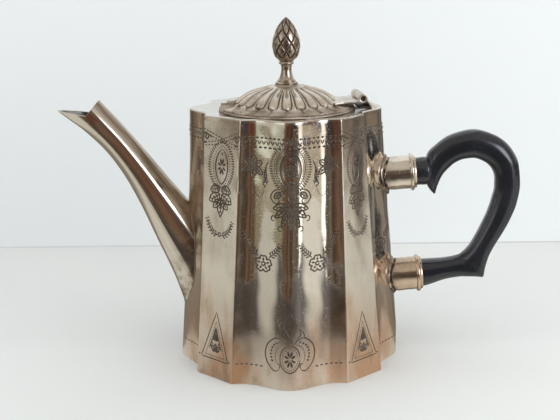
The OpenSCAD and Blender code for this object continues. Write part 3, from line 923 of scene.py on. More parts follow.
def domeHeight(r):
    # flat crown, then falling ever more steeply to the foot, where a small hollow meets the rim
    u = np.clip((r - lid["crownRadius"]) / (lid["domeRadius"] - lid["crownRadius"]), 0, 1)
    skirt = 1.5 * np.clip((lid["rimRadius"] - 0.8 - r) / 6.8, 0, 1) ** 2.0
    crown = lid["domeHeight"] * (1 - u ** lid["steepness"])
    crown = crown - 0.5 * smooth(r, 6.2, 9.0) * (1 - smooth(r, 14, 24))
    # the larger of the two, blended where they meet
    return lid["rimThick"] + (crown + skirt + np.sqrt((crown - skirt) ** 2 + 0.5)) / 2 - 0.02


def lobeRelief(r, angle):
    # tongues with rounded backs and feet, a dark groove on each side, and a thin fillet between
    # two grooves; the second result is how deep in a groove a point lies
    u = ((angle + tau / 4) * lid["lobes"] / tau + 0.5) % 1 - 0.5
    head, foot = lid["lobeHead"], lid["lobeFoot"]
    toe = np.clip((r - foot + 4.2) / 4.2, 0, 1)
    reach = 0.335 * np.sqrt(np.clip(1 - toe ** 2.6, 0, 1)) * np.clip((r - head) / 3.5, 0.001, 1) ** 0.5 + 1e-4
    back = np.sqrt(np.clip(1 - (np.abs(u) / reach) ** 2.8, 0, 1))
    span = np.clip((r - head) / (foot - head), 0, 1)
    grow = 0.35 + 0.65 * span
    fillet = np.exp(-((0.5 - np.abs(u)) / 0.055) ** 2) * 0.42 * (1 - smooth(r, foot - 3, foot + 0.3))
    edge = np.abs(np.abs(u) - reach - 0.035)
    near = np.exp(-(edge / 0.04) ** 2) * (1 - smooth(r, foot - 0.2, foot + 0.9))
    fade = smooth(r, head - 0.4, head + 2.5)
    return fade * (lid["lobeHeight"] * grow * back + fillet * grow - 0.3 * near), fade * near


def lidDome():
    # the lobed top from the crown out, round the rim's edge, and back under the hollow
    columnsRound = lid["lobes"] * 30
    angle = np.arange(columnsRound) * tau / columnsRound + tau / lid["lobes"] / 2
    r = np.concatenate([np.linspace(1.6, 8.0, 7), np.linspace(8.3, 21.0, 38), np.linspace(21.3, 28.4, 46),
                        np.linspace(28.8, 34.1, 14)])[:, None]
    relief, groove = lobeRelief(r, angle)
    ground = lid["rimZ"] + domeHeight(r) - 0.6 * smooth(r, 9, 14) * (1 - smooth(r, 25, lid["lobeFoot"]))
    edgeBead = 0.16 * np.exp(-((r - 33.6) / 0.6) ** 2)
    z = ground + relief + edgeBead
    z = z + 0.05 * ripple(r * np.cos(angle), r * np.sin(angle), 21, shortest=8, longest=25)
    top = swung(r, angle, z)
    edge = np.linspace(math.pi / 2, 0, 5)
    t, big, low = lid["rimThick"], lid["rimRadius"], lid["rimZ"]
    out = np.stack([big - t + t * np.cos(edge), low + 0.25 + (t - 0.1) * np.sin(edge)], -1)
    rim = turnedRings(np.concatenate([out, [(big, low + 0.06), (big - 0.1, low)]]), columnsRound)
    under = np.linspace(27.2, 1.6, 13)
    fall = np.clip((under - lid["crownRadius"]) / (27.2 - lid["crownRadius"]), 0, 1)
    hollow = lid["rimZ"] + (lid["domeHeight"] - 1.3) * (1 - fall ** lid["steepness"])
    underside = turnedRings(np.stack([under, hollow], -1), columnsRound)
    rings = np.concatenate([top, rim, underside])
    dark = np.zeros(rings.shape[:2])
    dark[:len(r)] = np.clip(groove + 0.3 * np.exp(-((r - 27.4) / 1.0) ** 2), 0, 1)
    return tube("dome_skin", rings, closed=True, values={"cut": dark}, sharp=60)


dome = lidDome()
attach(dome, "lid")
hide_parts("lid_dome")
print("lid")

finial = {
    "coneFoot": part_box("finial_cone")[0].z / mm,
    "coneTip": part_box("finial_cone")[1].z / mm,
    "starts": 8,                 # spiral cuts each way
    "twist": 0.80,               # radians of turn for each mm of height
    "cutDepth": 0.42,
    "cutWidth": 0.24,
}


def coneSkin():
    # an egg, blunt below and pointed above, cut by two families of spiral grooves
    u = np.linspace(0, 1, 220)[:, None] ** 0.92
    height = finial["coneTip"] - finial["coneFoot"]
    angle = np.arange(240) * tau / 240
    r = 15.8 * np.sqrt(u + 0.05) * np.clip(1 - u, 0, 1) ** 0.8
    z = finial["coneFoot"] + height * u
    cuts = 0
    for hand in (-1, 1):
        phase = finial["starts"] * (angle + hand * 0.32) + hand * finial["twist"] * height * u ** 1.12
        away = np.abs((phase / tau + 0.5) % 1 - 0.5) * tau * np.maximum(r, 0.8) / finial["starts"] * 0.62
        cuts = np.maximum(cuts, np.exp(-(away / finial["cutWidth"]) ** 2))
    fade = np.clip((u - 0.055) / 0.06, 0, 1) * np.clip((0.985 - u) / 0.05, 0, 1)
    r = r - finial["cutDepth"] * cuts * fade + 0.18 * fade * (1 - cuts)
    r = np.maximum(r - 0.16, 0.02)
    return tube("cone_skin", swung(r, angle, z), values={"cut": np.broadcast_to(cuts * fade, r.shape)})


cone = coneSkin()
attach(cone, "lid")
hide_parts("finial_cone")
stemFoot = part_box("finial_stem")[0].z / mm
stemProfile = smoothCurve([(1.5, 0.0), (5.3, 0.0), (5.75, 0.25), (5.75, 0.75), (5.1, 1.25), (4.6, 1.45),
                           (4.65, 1.9), (4.1, 2.5), (3.4, 3.9), (2.85, 5.8), (2.6, 7.4), (2.7, 8.8),
                           (3.05, 9.8), (3.3, 10.05), (3.75, 10.3), (3.85, 10.7), (3.6, 11.2), (3.4, 11.5),
                           (1.5, 11.5)], 150)
stem = tube("stem_skin", turnedRings(stemProfile + (0, stemFoot)), closed=True)
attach(stem, "lid")
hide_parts("finial_stem")
print("finial")

hinge = {
    "radius": 36.8,              # from the pot's axis to the pin
    "height": 137.0,
    "skew": math.radians(8.5),
    "barrel": 2.35,
    "hole": 1.32,
    "half": 10.0,                # half the barrel's length
    "centre": 3.8,               # half the length of the pot's knuckle
    "gap": 0.2,
    "leaf": 1.0,
}


def atHinge(points):
    # from the pin's own axes (out from the pot, along the pin, up) to the pot's
    c, s = math.cos(hinge["skew"]), math.sin(hinge["skew"])
    x, y, z = points[..., 0], points[..., 1], points[..., 2]
    return np.stack([hinge["radius"] + x * c - y * s, x * s + y * c, hinge["height"] + z], -1)


def knuckle(name, low, high):
    # a tube round the pin with softly turned ends
    big, hole = hinge["barrel"], hinge["hole"]
    profile = np.array([(hole, low + 0.2), (hole + 0.16, low + 0.03), (big - 0.3, low),
                        (big - 0.07, low + 0.1), (big, low + 0.3), (big, high - 0.3),
                        (big - 0.07, high - 0.1), (big - 0.3, high), (hole + 0.16, high - 0.03),
                        (hole, high - 0.2)])
    rings = turnedRings(profile, 64)[..., [0, 2, 1]]
    return tube(name, atHinge(rings), closed=True, sharp=60)


def strap(name, path, thick, low, high):
    # a flat bar with rounded edges along a path of (out, up) rows, between two widths along the pin
    path = smoothCurve(path, 26)
    share = np.linspace(0, 1, len(path))
    low, high = np.interp(share, *low), np.interp(share, *high)
    ahead = headings(path)
    soft = 0.3
    angle = np.radians(np.concatenate([np.linspace(k * 90, k * 90 + 90, 6) for k in range(4)]))
    y = np.repeat([1, -1, -1, 1], 6) * ((high - low)[:, None] / 2 - soft) + soft * np.cos(angle)
    y = y + (low + high)[:, None] / 2
    n = np.repeat([1, 1, -1, -1], 6) * (thick / 2 - soft) + soft * np.sin(angle)
    rings = np.stack([path[:, :1] - ahead[:, 1:] * n, y, path[:, 1:] + ahead[:, :1] * n], -1)
    return tube(name, atHinge(rings), sharp=60)


def apron(name):
    # the pot's leaf: it slopes from behind the barrel to the rim of the bowed side and ends along its curve
    u = np.linspace(0, 1, 24)[:, None]
    v = np.linspace(-1, 1, 60) * (hinge["half"] - 0.3)
    turn = atHinge(np.stack([0 * v + 7, v, 0 * v], -1))
    k = body["topScale"]
    plan = sideDepth(np.clip(turn[:, 1] / k, -ridgeX, ridgeX)) + 1j * turn[:, 1] / k
    foot = k * plan.real + handMade(plan, body["height"]) - 1.3
    foot = foot - hinge["radius"] + v * math.sin(hinge["skew"])
    x = 2.62 + (foot - 2.62) * u
    z = np.broadcast_to(-1.45 - 3.85 * u ** 1.15, x.shape)
    upper = np.stack([x, np.broadcast_to(v, x.shape), z], -1)
    lower = upper - (0.1, 0, hinge["leaf"])
    edge = (upper + lower) / 2
    rings = np.concatenate([upper, edge[-1:] + (0.3, 0, 0), lower[::-1], edge[:1] - (0.2, 0, 0)])
    rows, count = rings.shape[:2]
    i = np.arange(23)
    side = np.stack([i, i + 1, rows - 3 - i, rows - 2 - i], -1) * count
    caps = np.array([[23, 24, 25], [rows - 1, 0, rows - 2]]) * count
    quads = np.concatenate([gridFaces(rows, count, wrapRows=True, wrapColumns=False),
                            side, side[:, ::-1] + count - 1])
    triangles = np.concatenate([caps, caps[:, ::-1] + count - 1])
    return putMesh(name, atHinge(rings.reshape(-1, 3)), quads, triangles, sharp=60)


def hingePieces():
    # the lid's leaf with a tab and a knuckle at each end, and the pot's leaf with one in the middle
    half, centre, gap = hinge["half"], hinge["centre"], hinge["gap"]
    level, fall = -1.35, 0.052
    flareLow, flareHigh = ([0, 0.4, 1], [-half - 1.5, -half, -half]), ([0, 0.4, 1], [half + 1.5, half, half])
    inner = -hinge["barrel"] - 0.5
    leafPath = [(x, level + x * fall) for x in (-14.5, -9, inner)]
    plate = strap("lid_leaf", leafPath, hinge["leaf"], flareLow, flareHigh)
    tab = [(inner - 0.6, level + (inner - 0.6) * fall), (-2.1, level - 0.1), (-1.35, level - 0.1)]
    ends = ((-half, -centre - gap), (centre + gap, half))
    lidParts = [plate]
    for place, (low, high) in zip(("near", "far"), ends):
        lidParts.append(strap("lid_leaf_" + place + "_tab", tab, hinge["leaf"],
                              ([0, 1], [low, low]), ([0, 1], [high, high])))
        lidParts.append(knuckle("lid_" + place + "_knuckle", low, high))
    potParts = [apron("pot_leaf"), knuckle("pot_knuckle", -centre, centre)]
    # the foot is a dark block under the barrel that stands for the shadow between the leaves and the top
    # plate: painted shade
    for name, path, thick, reach in (
            ("pot_leaf_shade_foot", [(-1.5, -4.65), (1.5, -4.6), (4.6, -4.45)], 1.0, half - 0.4),
            ("pot_leaf_tab", [(0.2, -1.75), (1.8, -1.8), (3.6, -2.3)], 0.9, centre)):
        potParts.append(strap(name, path, thick, ([0, 1], [-reach, -reach]), ([0, 1], [reach, reach])))
    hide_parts("lid_hinge_leaf")
    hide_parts("body_hinge_leaf")
    for parts, bodyName in ((lidParts, "lid"), (potParts, "pot")):
        for part in parts:
            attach(part, bodyName)
    return lidParts + potParts


hingeParts = hingePieces()
print("hinge")


class Value:
    # a node's output; sums and products of it add Math nodes
    def __init__(self, graph, socket):
        self.graph, self.socket = graph, socket

    def math(self, operation, *others):
        return self.graph.node("ShaderNodeMath", {"operation": operation},
                               dict(enumerate((self, *others))))

    def __add__(self, other):
        return self.math("ADD", other)

    def __sub__(self, other):
        return self.math("SUBTRACT", other)

    def __rsub__(self, other):
        return self.graph.node("ShaderNodeMath", {"operation": "SUBTRACT"}, {0: other, 1: self})

    def __mul__(self, other):
        return self.math("MULTIPLY", other)

    __radd__, __rmul__ = __add__, __mul__

    def __truediv__(self, other):
        return self.math("DIVIDE", other)

    def __pow__(self, other):
        return self.math("POWER", other)

    def clamped(self):
        return self.graph.node("ShaderNodeClamp", {}, {0: self})


class Graph:
    # the nodes of a material or of the world
    def __init__(self, tree):
        self.tree = tree

    @classmethod
    def ofMaterial(cls, name):
        material = bpy.data.materials.new(name)
        material.use_nodes = True
        g = cls(material.node_tree)
        g.material = material
        g.shader = next(n for n in g.tree.nodes if n.type == "BSDF_PRINCIPLED")
        g.out = next(n for n in g.tree.nodes if n.type == "OUTPUT_MATERIAL")
        return g

    def node(self, kind, settings=None, values=None, output=0):
        made = self.tree.nodes.new(kind)
        for key, value in (settings or {}).items():
            if key == "stops":
                ramp = made.color_ramp
                while len(ramp.elements) < len(value):
                    ramp.elements.new(1)
                for stop, (place, colour) in zip(ramp.elements, value):
                    stop.position = place
                    stop.color = (*colour, 1) if len(colour) == 3 else colour
            else:
                setattr(made, key, value)
        for key, value in (values or {}).items():
            self.feed(made.inputs[key], value)
        return Value(self, made.outputs[output])

    def feed(self, socket, value):
        if isinstance(value, Value):
            self.tree.links.new(value.socket, socket)
        else:
            socket.default_value = value

    def place(self):
        return self.node("ShaderNodeTexCoord", output="Object")

    def attribute(self, name):
        # a value given with each point of the mesh
        return self.node("ShaderNodeAttribute", {"attribute_name": name}, output="Fac")

    def scaled(self, point, scale):
        return self.node("ShaderNodeMapping", {}, {"Vector": point, "Scale": scale})

    def noise(self, point, scale, detail=3.0, roughness=0.55):
        return self.node("ShaderNodeTexNoise", {}, {"Vector": point, "Scale": scale, "Detail": detail,
                                                    "Roughness": roughness})

    def ramp(self, factor, *stops):
        return self.node("ShaderNodeValToRGB", {"stops": stops}, {0: factor})

    def between(self, value, low, high):
        # an S-shaped rise from 0 to 1 between two values
        return self.node("ShaderNodeMapRange", {"interpolation_type": "SMOOTHSTEP"},
                         {0: value, 1: low, 2: high, 3: 0.0, 4: 1.0})

    def mix(self, factor, a, b):
        made = self.tree.nodes.new("ShaderNodeMix")
        made.data_type = "RGBA"
        for index, value in ((0, factor), (6, a), (7, b)):
            self.feed(made.inputs[index], value)
        return Value(self, made.outputs[2])

    def split(self, point):
        made = self.tree.nodes.new("ShaderNodeSeparateXYZ")
        self.tree.links.new(point.socket, made.inputs[0])
        return [Value(self, made.outputs[i]) for i in range(3)]

    def bump(self, height, distance, strength=1.0):
        return self.node("ShaderNodeBump", {}, {"Height": height, "Distance": distance, "Strength": strength})

    def finish(self, **sockets):
        for key, value in sockets.items():
            self.feed(self.shader.inputs[key.replace("_", " ")], value)
        return self.material


def rgb(r, g, b):
    return (r, g, b, 1)


def platedSilver(name, tone=(0.80, 0.745, 0.655), rough=0.055, tarnish=0.35, wornBase=True,
                 stained=False):
    # polished plate with brown bloom, wiping streaks and fine pits; the flats are satin, and
    # towards the base the plate is worn through in warm coppery patches
    g = Graph.ofMaterial(name)
    at = g.place()
    x, y, z = g.split(at)
    patches = g.noise(at, 38, 4, 0.6)
    streaks = g.noise(g.scaled(at, (1, 1, 0.16)), 130, 3, 0.6)
    fine = g.noise(at, 900, 2, 0.5)
    pits = g.noise(at, 1500, 1, 0.4)
    bloom = (g.between(patches, 0.42, 0.72) * 0.7 + g.between(streaks, 0.45, 0.75) * 0.45).clamped() * tarnish
    colour = g.mix(bloom, rgb(*tone), rgb(0.40, 0.29, 0.20))
    roughness = rough + bloom * 0.2 + g.between(fine, 0.35, 0.75) * 0.03
    if wornBase:
        handleSide = g.between(x, 0.0385, 0.041)
        x, y = x.math("ABSOLUTE"), y.math("ABSOLUTE")
        lean = x.math("MINIMUM", y) / x.math("MAXIMUM", y)
        flat = g.between(lean, 0.605, 0.625)
        roughness = roughness + flat * 0.13
        grey = g.between(g.noise(g.scaled(at, (1, 1, 0.3)), 60, 4, 0.65), 0.52, 0.66)
        high = g.between(z, 0.098, 0.125) * g.between(patches, 0.36, 0.56) * (1 - handleSide)
        colour = g.mix((high * 0.5 + grey * flat * 0.16).clamped(), colour, rgb(0.36, 0.285, 0.215))
        ragged = z + (streaks - 0.5) * 0.05 + (patches - 0.5) * 0.04
        # the crest of each bowed side is rubbed bright again
        worn = g.between(ragged, 0.052, 0.012) * (1 - g.between(lean, 0.30, 0.10) * 0.5)
        dulled = g.between(ragged, 0.036, 0.008)
        copper = g.between(g.noise(g.scaled(at, (1, 1, 0.45)), 34, 3, 0.55), 0.34, 0.56)
        hollow = g.between(lean, 0.36, 0.46) * (1 - flat)
        bare = (worn * (copper * 0.72 + 0.2 + hollow * 0.35)).clamped()
        colour = g.mix(bare, colour, rgb(0.55, 0.33, 0.205))
        smudge = worn * g.between(g.noise(g.scaled(at, (1, 1, 0.5)), 75, 4, 0.65), 0.50, 0.64)
        colour = g.mix(smudge * 0.42, colour, rgb(0.30, 0.215, 0.155))
        roughness = roughness + dulled * 0.17 + smudge * 0.06
    if stained:
        # old solder and polish round the root
        stain = g.attribute("stain")
        mottle = g.between(g.noise(at, 420, 3, 0.6), 0.36, 0.58)
        stain = (stain * (mottle + 0.35)).clamped()
        colour = g.mix(stain, colour, rgb(0.10, 0.075, 0.055))
        roughness = roughness + stain * 0.25
    grain = fine * 0.5 + g.between(pits, 0.66, 0.76) * -0.9 + patches * 1.5
    return g.finish(Base_Color=colour, Metallic=1.0, Roughness=roughness, Normal=g.bump(grain, 0.00004, 0.5))


def spoutPlate(name):
    # plate that browns along the draw of the spout in long streaks, with a blotched foot; the upper
    # side is painted darker as a painted reflection, which also deepens the streaks there, and the
    # inside and mouth are painted near-black as painted shade
    g = Graph.ofMaterial(name)
    at = g.place()
    around, along, inside = (g.attribute(key) for key in ("around", "along", "inside"))
    drawn = g.node("ShaderNodeCombineXYZ", {}, {0: around * 34, 1: along * 2.2})
    streak = g.noise(drawn, 1.0, 4, 0.62)
    blotch = g.noise(at, 170, 4, 0.65)
    fine = g.noise(at, 900, 2)
    # painted reflection: the upper side is painted darker, standing for the dark room it mirrors, and its
    # tarnish streaks are deepened with it
    upper = g.between(around, 0.66, 0.80)
    foot = g.between(blotch, 0.42, 0.6) * 0.75 + g.between(along, 0.08, 0.0) * 0.4
    foot = g.between(along, 0.19, 0.02) * foot
    stain = ((g.between(streak, 0.40, 0.70) * (upper * 0.75 + 0.22)) + upper * 0.6 + foot * 0.85).clamped()
    colour = g.mix(stain, rgb(0.80, 0.735, 0.64), rgb(0.27, 0.195, 0.135))
    # painted shade: the inner skin and the mouth's edge are painted near-black
    colour = g.mix(inside * 0.85, colour, rgb(0.12, 0.125, 0.11))
    return g.finish(Base_Color=colour, Metallic=1.0, Roughness=0.08 + stain * 0.16 + inside * 0.3,
                    Normal=g.bump(fine * 0.4 + streak * 0.6 + blotch * 0.5, 0.00005, 0.6))


def tarnishedSilver(name, hollow="", tone=(0.60, 0.53, 0.455), rough=0.2, brim=0.0):
    # cast and chased silver: brown in the hollows, rubbed bright on what stands proud; matt and
    # browned beyond the radius of the brim, if it has one
    g = Graph.ofMaterial(name)
    at = g.place()
    patches = g.noise(at, 120, 4, 0.6)
    fine = g.noise(at, 1100, 2, 0.5)
    dark = g.between(patches, 0.35, 0.75) * 0.45
    if hollow:
        cut = g.attribute(hollow)
        dark = (dark + cut * 1.1).clamped()
    colour = g.mix(dark, rgb(*tone), rgb(0.10, 0.062, 0.038))
    roughness = rough + dark * 0.3
    if brim:
        x, y = g.split(at)[:2]
        outside = g.between((x * x + y * y) ** 0.5, brim, brim + 0.0016)
        colour = g.mix(outside * (g.between(patches, 0.3, 0.7) * 0.3 + 0.3), colour, rgb(0.36, 0.285, 0.22))
        roughness = roughness + outside * 0.3
    return g.finish(Base_Color=colour, Metallic=1.0, Roughness=roughness,
                    Normal=g.bump(fine * 0.5 + patches, 0.00005, 0.6))


def engravedCut(name):
    # the burrs keep a rubbed shine; the floor of a cut holds old polish, nearly black
    g = Graph.ofMaterial(name)
    at = g.place()
    cut = g.attribute("cut")
    rubbed = g.between(g.noise(at, 160, 3), 0.35, 0.7)
    floor = (g.between(cut, 0.35, 0.6) + rubbed * -0.12).clamped()
    colour = g.mix(floor, rgb(0.40, 0.325, 0.25), rgb(0.03, 0.02, 0.013))
    return g.finish(Base_Color=colour, Metallic=1.0 - floor * 0.75, Roughness=0.3 + floor * 0.35)


def blackHandle(name):
    # a gloss coat over black, a little uneven
    g = Graph.ofMaterial(name)
    at = g.place()
    soft = g.noise(at, 60, 3)
    fine = g.noise(at, 700, 2)
    colour = g.mix(g.between(soft, 0.3, 0.7), rgb(0.010, 0.0115, 0.015), rgb(0.017, 0.0185, 0.024))
    g.shader.inputs["Coat Weight"].default_value = 0.4
    g.shader.inputs["Specular IOR Level"].default_value = 0.42
    g.shader.inputs["Coat Roughness"].default_value = 0.06
    return g.finish(Base_Color=colour, Roughness=0.15 + g.between(fine, 0.3, 0.8) * 0.06,
                    Normal=g.bump(soft * 2 + fine * 0.25, 0.00008, 0.4))


def brass(name):
    # bare brass, dulled in patches
    g = Graph.ofMaterial(name)
    at = g.place()
    fine = g.noise(at, 600, 3)
    colour = g.mix(g.between(fine, 0.3, 0.7), rgb(0.70, 0.53, 0.28), rgb(0.42, 0.30, 0.17))
    return g.finish(Base_Color=colour, Metallic=1.0, Roughness=0.28 + fine * 0.1,
                    Normal=g.bump(fine, 0.00004, 0.5))


silver = platedSilver("plated silver")
spoutSilver = spoutPlate("plated silver spout")
plateSilver = platedSilver("plated silver top", tone=(0.70, 0.67, 0.615), rough=0.10, tarnish=0.45,
                           wornBase=False)
leafSilver = platedSilver("plated silver hinge", tone=(0.74, 0.69, 0.61), rough=0.27, tarnish=0.7,
                          wornBase=False)
socketSilver = platedSilver("plated silver socket", tone=(0.82, 0.74, 0.63), rough=0.10, tarnish=0.55,
                            wornBase=False, stained=True)
lowSocketSilver = platedSilver("plated silver lower socket", tone=(0.68, 0.53, 0.405), rough=0.13,
                               tarnish=1.1, wornBase=False, stained=True)
# a dark tone: the hinge pin's own dark, deepened as painted shade so its end reads as a shaded hole, and the
# foot block under the barrel, which is painted shade
darkPinAndShade = tarnishedSilver("dark pin and painted shade", tone=(0.10, 0.085, 0.07), rough=0.4)
domeSilver = tarnishedSilver("chased silver", "cut", tone=(0.74, 0.655, 0.55), rough=0.24, brim=0.0268)
seatSilver = tarnishedSilver("turned silver", tone=(0.55, 0.47, 0.385), rough=0.16)
coneSilver = tarnishedSilver("cast silver", "cut", tone=(0.50, 0.43, 0.355), rough=0.14)
engravedLine = engravedCut("engraved line")
solder = tarnishedSilver("solder", tone=(0.34, 0.27, 0.21), rough=0.35)
bareBrass = brass("bare brass")
black = blackHandle("gloss black")


def paint(piece, material):
    piece.data.materials.clear()
    piece.data.materials.append(material)


paint(wall, silver)
for piece in engraved:
    paint(piece, engravedLine)
for piece in (nearHalf, farHalf):
    paint(piece, spoutSilver)
paint(floorOfPot, silver)
for piece in (upperSocket, upperBead):
    paint(piece, socketSilver)
for piece in (lowerSocket, lowerBead):
    paint(piece, lowSocketSilver)
for piece in (spoutSolder, upperSolder, lowerSolder):
    paint(piece, solder)
for piece in (grip, tenon):
    paint(piece, black)
for piece in hingeParts:
    # the foot block under the barrel is painted dark as painted shade
    paint(piece, darkPinAndShade if piece.name.endswith("foot") else leafSilver)
paint(dome, domeSilver)
paint(cone, coneSilver)
paint(stem, seatSilver)
paint(top, plateSilver)
carried = {
    "lid_bezel": plateSilver, "finial_seat": seatSilver,
    "hinge_pin": darkPinAndShade, "finial_stud": bareBrass, "finial_washer": bareBrass, "finial_nut": bareBrass,
    "upper_handle_pin": bareBrass, "lower_handle_pin": bareBrass,
}
for node, material in carried.items():
    paint(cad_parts[node], material)
print("materials")

room = {
    "wallY": 0.216,
    "tableFront": -0.335,        # the table's edges, which the polished sides mirror
    "tableLeft": -1.15,
    "tableRight": 0.84,
    "wallHalf": 0.19,
    # what stands round the table: degrees to the right of straight ahead of the pot, and colour,
    # below the viewer's waist, at eye level and above
    "tabletop": [
        (-78, (0.74, 0.715, 0.665)),
        (-66, (0.64, 0.61, 0.56)),
        (-50, (0.60, 0.57, 0.52)),
        (0, (0.72, 0.695, 0.65)),
        (50, (0.84, 0.81, 0.76)),
        (70, (0.84, 0.81, 0.76)),
        (84, (0.74, 0.715, 0.665)),
    ],
    "low": [
        (-180, (0.62, 0.62, 0.62)),
        (-160, (0.42, 0.38, 0.32)),
        (-150, (0.13, 0.10, 0.07)),
        (-138, (0.36, 0.28, 0.20)),
        (-128, (0.12, 0.09, 0.065)),
        (-116, (0.25, 0.20, 0.155)),
        (-78, (0.25, 0.205, 0.16)),
        (-68, (0.42, 0.38, 0.30)),
        (-60, (0.29, 0.26, 0.18)),
        (-44, (0.25, 0.22, 0.145)),
        (-37, (0.115, 0.072, 0.045)),
        (-24, (0.16, 0.10, 0.065)),
        (-16, (0.075, 0.047, 0.032)),
        (-9, (0.19, 0.12, 0.08)),
        (-3, (0.13, 0.075, 0.05)),
        (2, (0.07, 0.047, 0.034)),
        (10, (0.09, 0.07, 0.055)),
        (16, (0.19, 0.155, 0.115)),
        (30, (0.13, 0.105, 0.08)),
        (40, (0.16, 0.13, 0.10)),
        (43, (1.7, 1.7, 1.65)),
        (53, (1.7, 1.7, 1.65)),
        (57, (0.66, 0.60, 0.50)),
        (68, (0.60, 0.54, 0.45)),
        (76, (0.26, 0.21, 0.165)),
        (112, (0.23, 0.185, 0.145)),
        (118, (0.06, 0.062, 0.057)),
        (126, (0.20, 0.19, 0.175)),
        (140, (0.05, 0.052, 0.05)),
        (147, (0.52, 0.53, 0.51)),
        (180, (0.66, 0.66, 0.65)),
    ],
    "level": [
        (-180, (0.62, 0.62, 0.62)),
        (-150, (0.16, 0.14, 0.11)),
        (-120, (0.26, 0.21, 0.165)),
        (-80, (0.21, 0.165, 0.125)),
        (-67, (0.80, 0.84, 0.74)),
        (-36, (0.62, 0.66, 0.56)),
        (-31, (0.20, 0.16, 0.11)),
        (-21, (0.17, 0.055, 0.03)),
        (-6, (0.12, 0.05, 0.032)),
        (-2, (0.24, 0.085, 0.05)),
        (3, (0.06, 0.055, 0.07)),
        (14, (0.065, 0.065, 0.085)),
        (24, (0.04, 0.04, 0.05)),
        (36, (0.22, 0.20, 0.18)),
        (43, (1.8, 1.8, 1.8)),
        (52, (1.8, 1.8, 1.8)),
        (55, (0.20, 0.24, 0.30)),
        (62, (0.27, 0.30, 0.34)),
        (66, (0.26, 0.17, 0.12)),
        (80, (0.24, 0.185, 0.145)),
        (106, (0.19, 0.15, 0.12)),
        (126, (0.14, 0.11, 0.085)),
        (134, (0.52, 0.52, 0.50)),
        (156, (0.62, 0.62, 0.60)),
        (180, (0.62, 0.62, 0.62)),
    ],
    "above": [
        (-180, (0.70, 0.71, 0.72)),
        (-110, (0.55, 0.52, 0.47)),
        (-70, (0.45, 0.40, 0.33)),
        (-62, (1.3, 1.35, 1.4)),
        (-40, (1.3, 1.35, 1.4)),
        (-32, (0.30, 0.25, 0.20)),
        (-12, (0.14, 0.11, 0.085)),
        (12, (0.12, 0.10, 0.085)),
        (24, (0.35, 0.32, 0.28)),
        (31, (3.2, 3.3, 3.6)),
        (38, (6.2, 6.4, 7.2)),
        (47, (6.2, 6.4, 7.2)),
        (55, (3.2, 3.3, 3.6)),
        (64, (0.42, 0.38, 0.33)),
        (100, (0.5, 0.49, 0.48)),
        (120, (0.95, 0.98, 1.0)),
        (180, (0.85, 0.87, 0.88)),
    ],
    "ceiling": (0.60, 0.57, 0.53),
    "daylight": (1.18, 1.20, 1.20),
}


def sheetOf(name, low, high, material):
    # an upright or level rectangle between two corners, as a 1 by 1 grid
    low, high = np.array(low, float), np.array(high, float)
    flat = int(np.argmin(high - low))
    a, b = [k for k in range(3) if k != flat]
    points = np.tile(low, (4, 1))
    points[[1, 2], a] = high[a]
    points[[2, 3], b] = high[b]
    piece = putMesh(name, points / mm, np.array([[0, 1, 2, 3]]), turnOut=False)
    paint(piece, material)
    return piece


def palePaint(name, colour, oneSided=False):
    # the floor's white, or the wall's, which only its front shows
    g = Graph.ofMaterial(name)
    at = g.place()
    uneven = g.noise(at, 3, 2)
    tone = g.mix(uneven, rgb(*colour), rgb(*(c * 0.97 for c in colour)))
    x, _, z = g.split(at)
    if not oneSided:
        # painted light: the floor is a little brighter to the right of the pot, lifting the pot's shadow
        # there
        tone = g.mix(g.between(x, 0.0, 0.1), tone, rgb(*(c * 1.05 for c in colour)))
    else:
        # painted shade: darker low down on the left; and a fine dark joint where it meets the table
        low = g.between(z, 0.34, 0.0) * g.between(x, 0.15, -0.25)
        tone = g.mix(low * 0.75, tone, rgb(*(c * 0.80 for c in colour)))
        tone = g.mix(g.between(z, 0.0011, 0.0006), tone, rgb(0.66, 0.67, 0.67))
    g.finish(Base_Color=tone, Roughness=0.7)
    if oneSided:
        # seen from behind, the wall lets the view through
        behind = g.node("ShaderNodeNewGeometry", output="Backfacing")
        clear = g.node("ShaderNodeBsdfTransparent")
        both = g.node("ShaderNodeMixShader", {}, {0: behind, 1: Value(g, g.shader.outputs[0]), 2: clear})
        g.feed(g.out.inputs[0], both)
    return g.material


def horizon(g, x, y, key):
    # the mirrored room's colour by bearing, 0 straight ahead of the pot
    bearing = g.node("ShaderNodeMath", {"operation": "ARCTAN2"}, {0: x, 1: y * -1}) / tau
    return g.ramp(bearing + 0.5, *(((degrees + 180) / 360, colour) for degrees, colour in room[key])), bearing


def tablePaint():
    # the tabletop that the silver mirrors: pale, with a painted reflection of the dark room on it in
    # front that stops at a pale front edge; what stands on it beside and behind the pot shows in stripes
    g = Graph.ofMaterial("table paint")
    at = g.place()
    x, y = g.split(at)[:2]
    away = (x * x + y * y) ** 0.5
    stripes, bearing = horizon(g, x, y, "low")
    pale = horizon(g, x, y, "tabletop")[0]
    # painted reflection: the dark room mirrored in the glossy table in front of the pot
    ahead = g.between(away, 0.07, 0.20) * (1 - g.between(bearing.math("ABSOLUTE"), 44 / 360, 57 / 360))
    edge = g.between(y, -0.330, -0.332)
    tone = g.mix(ahead * (1 - edge), pale, rgb(0.05, 0.038, 0.028))
    beside = g.between(bearing.math("ABSOLUTE"), 94 / 360, 101 / 360)
    tone = g.mix(beside * 0.92, tone, stripes)
    return g.finish(Base_Color=tone, Roughness=0.7)


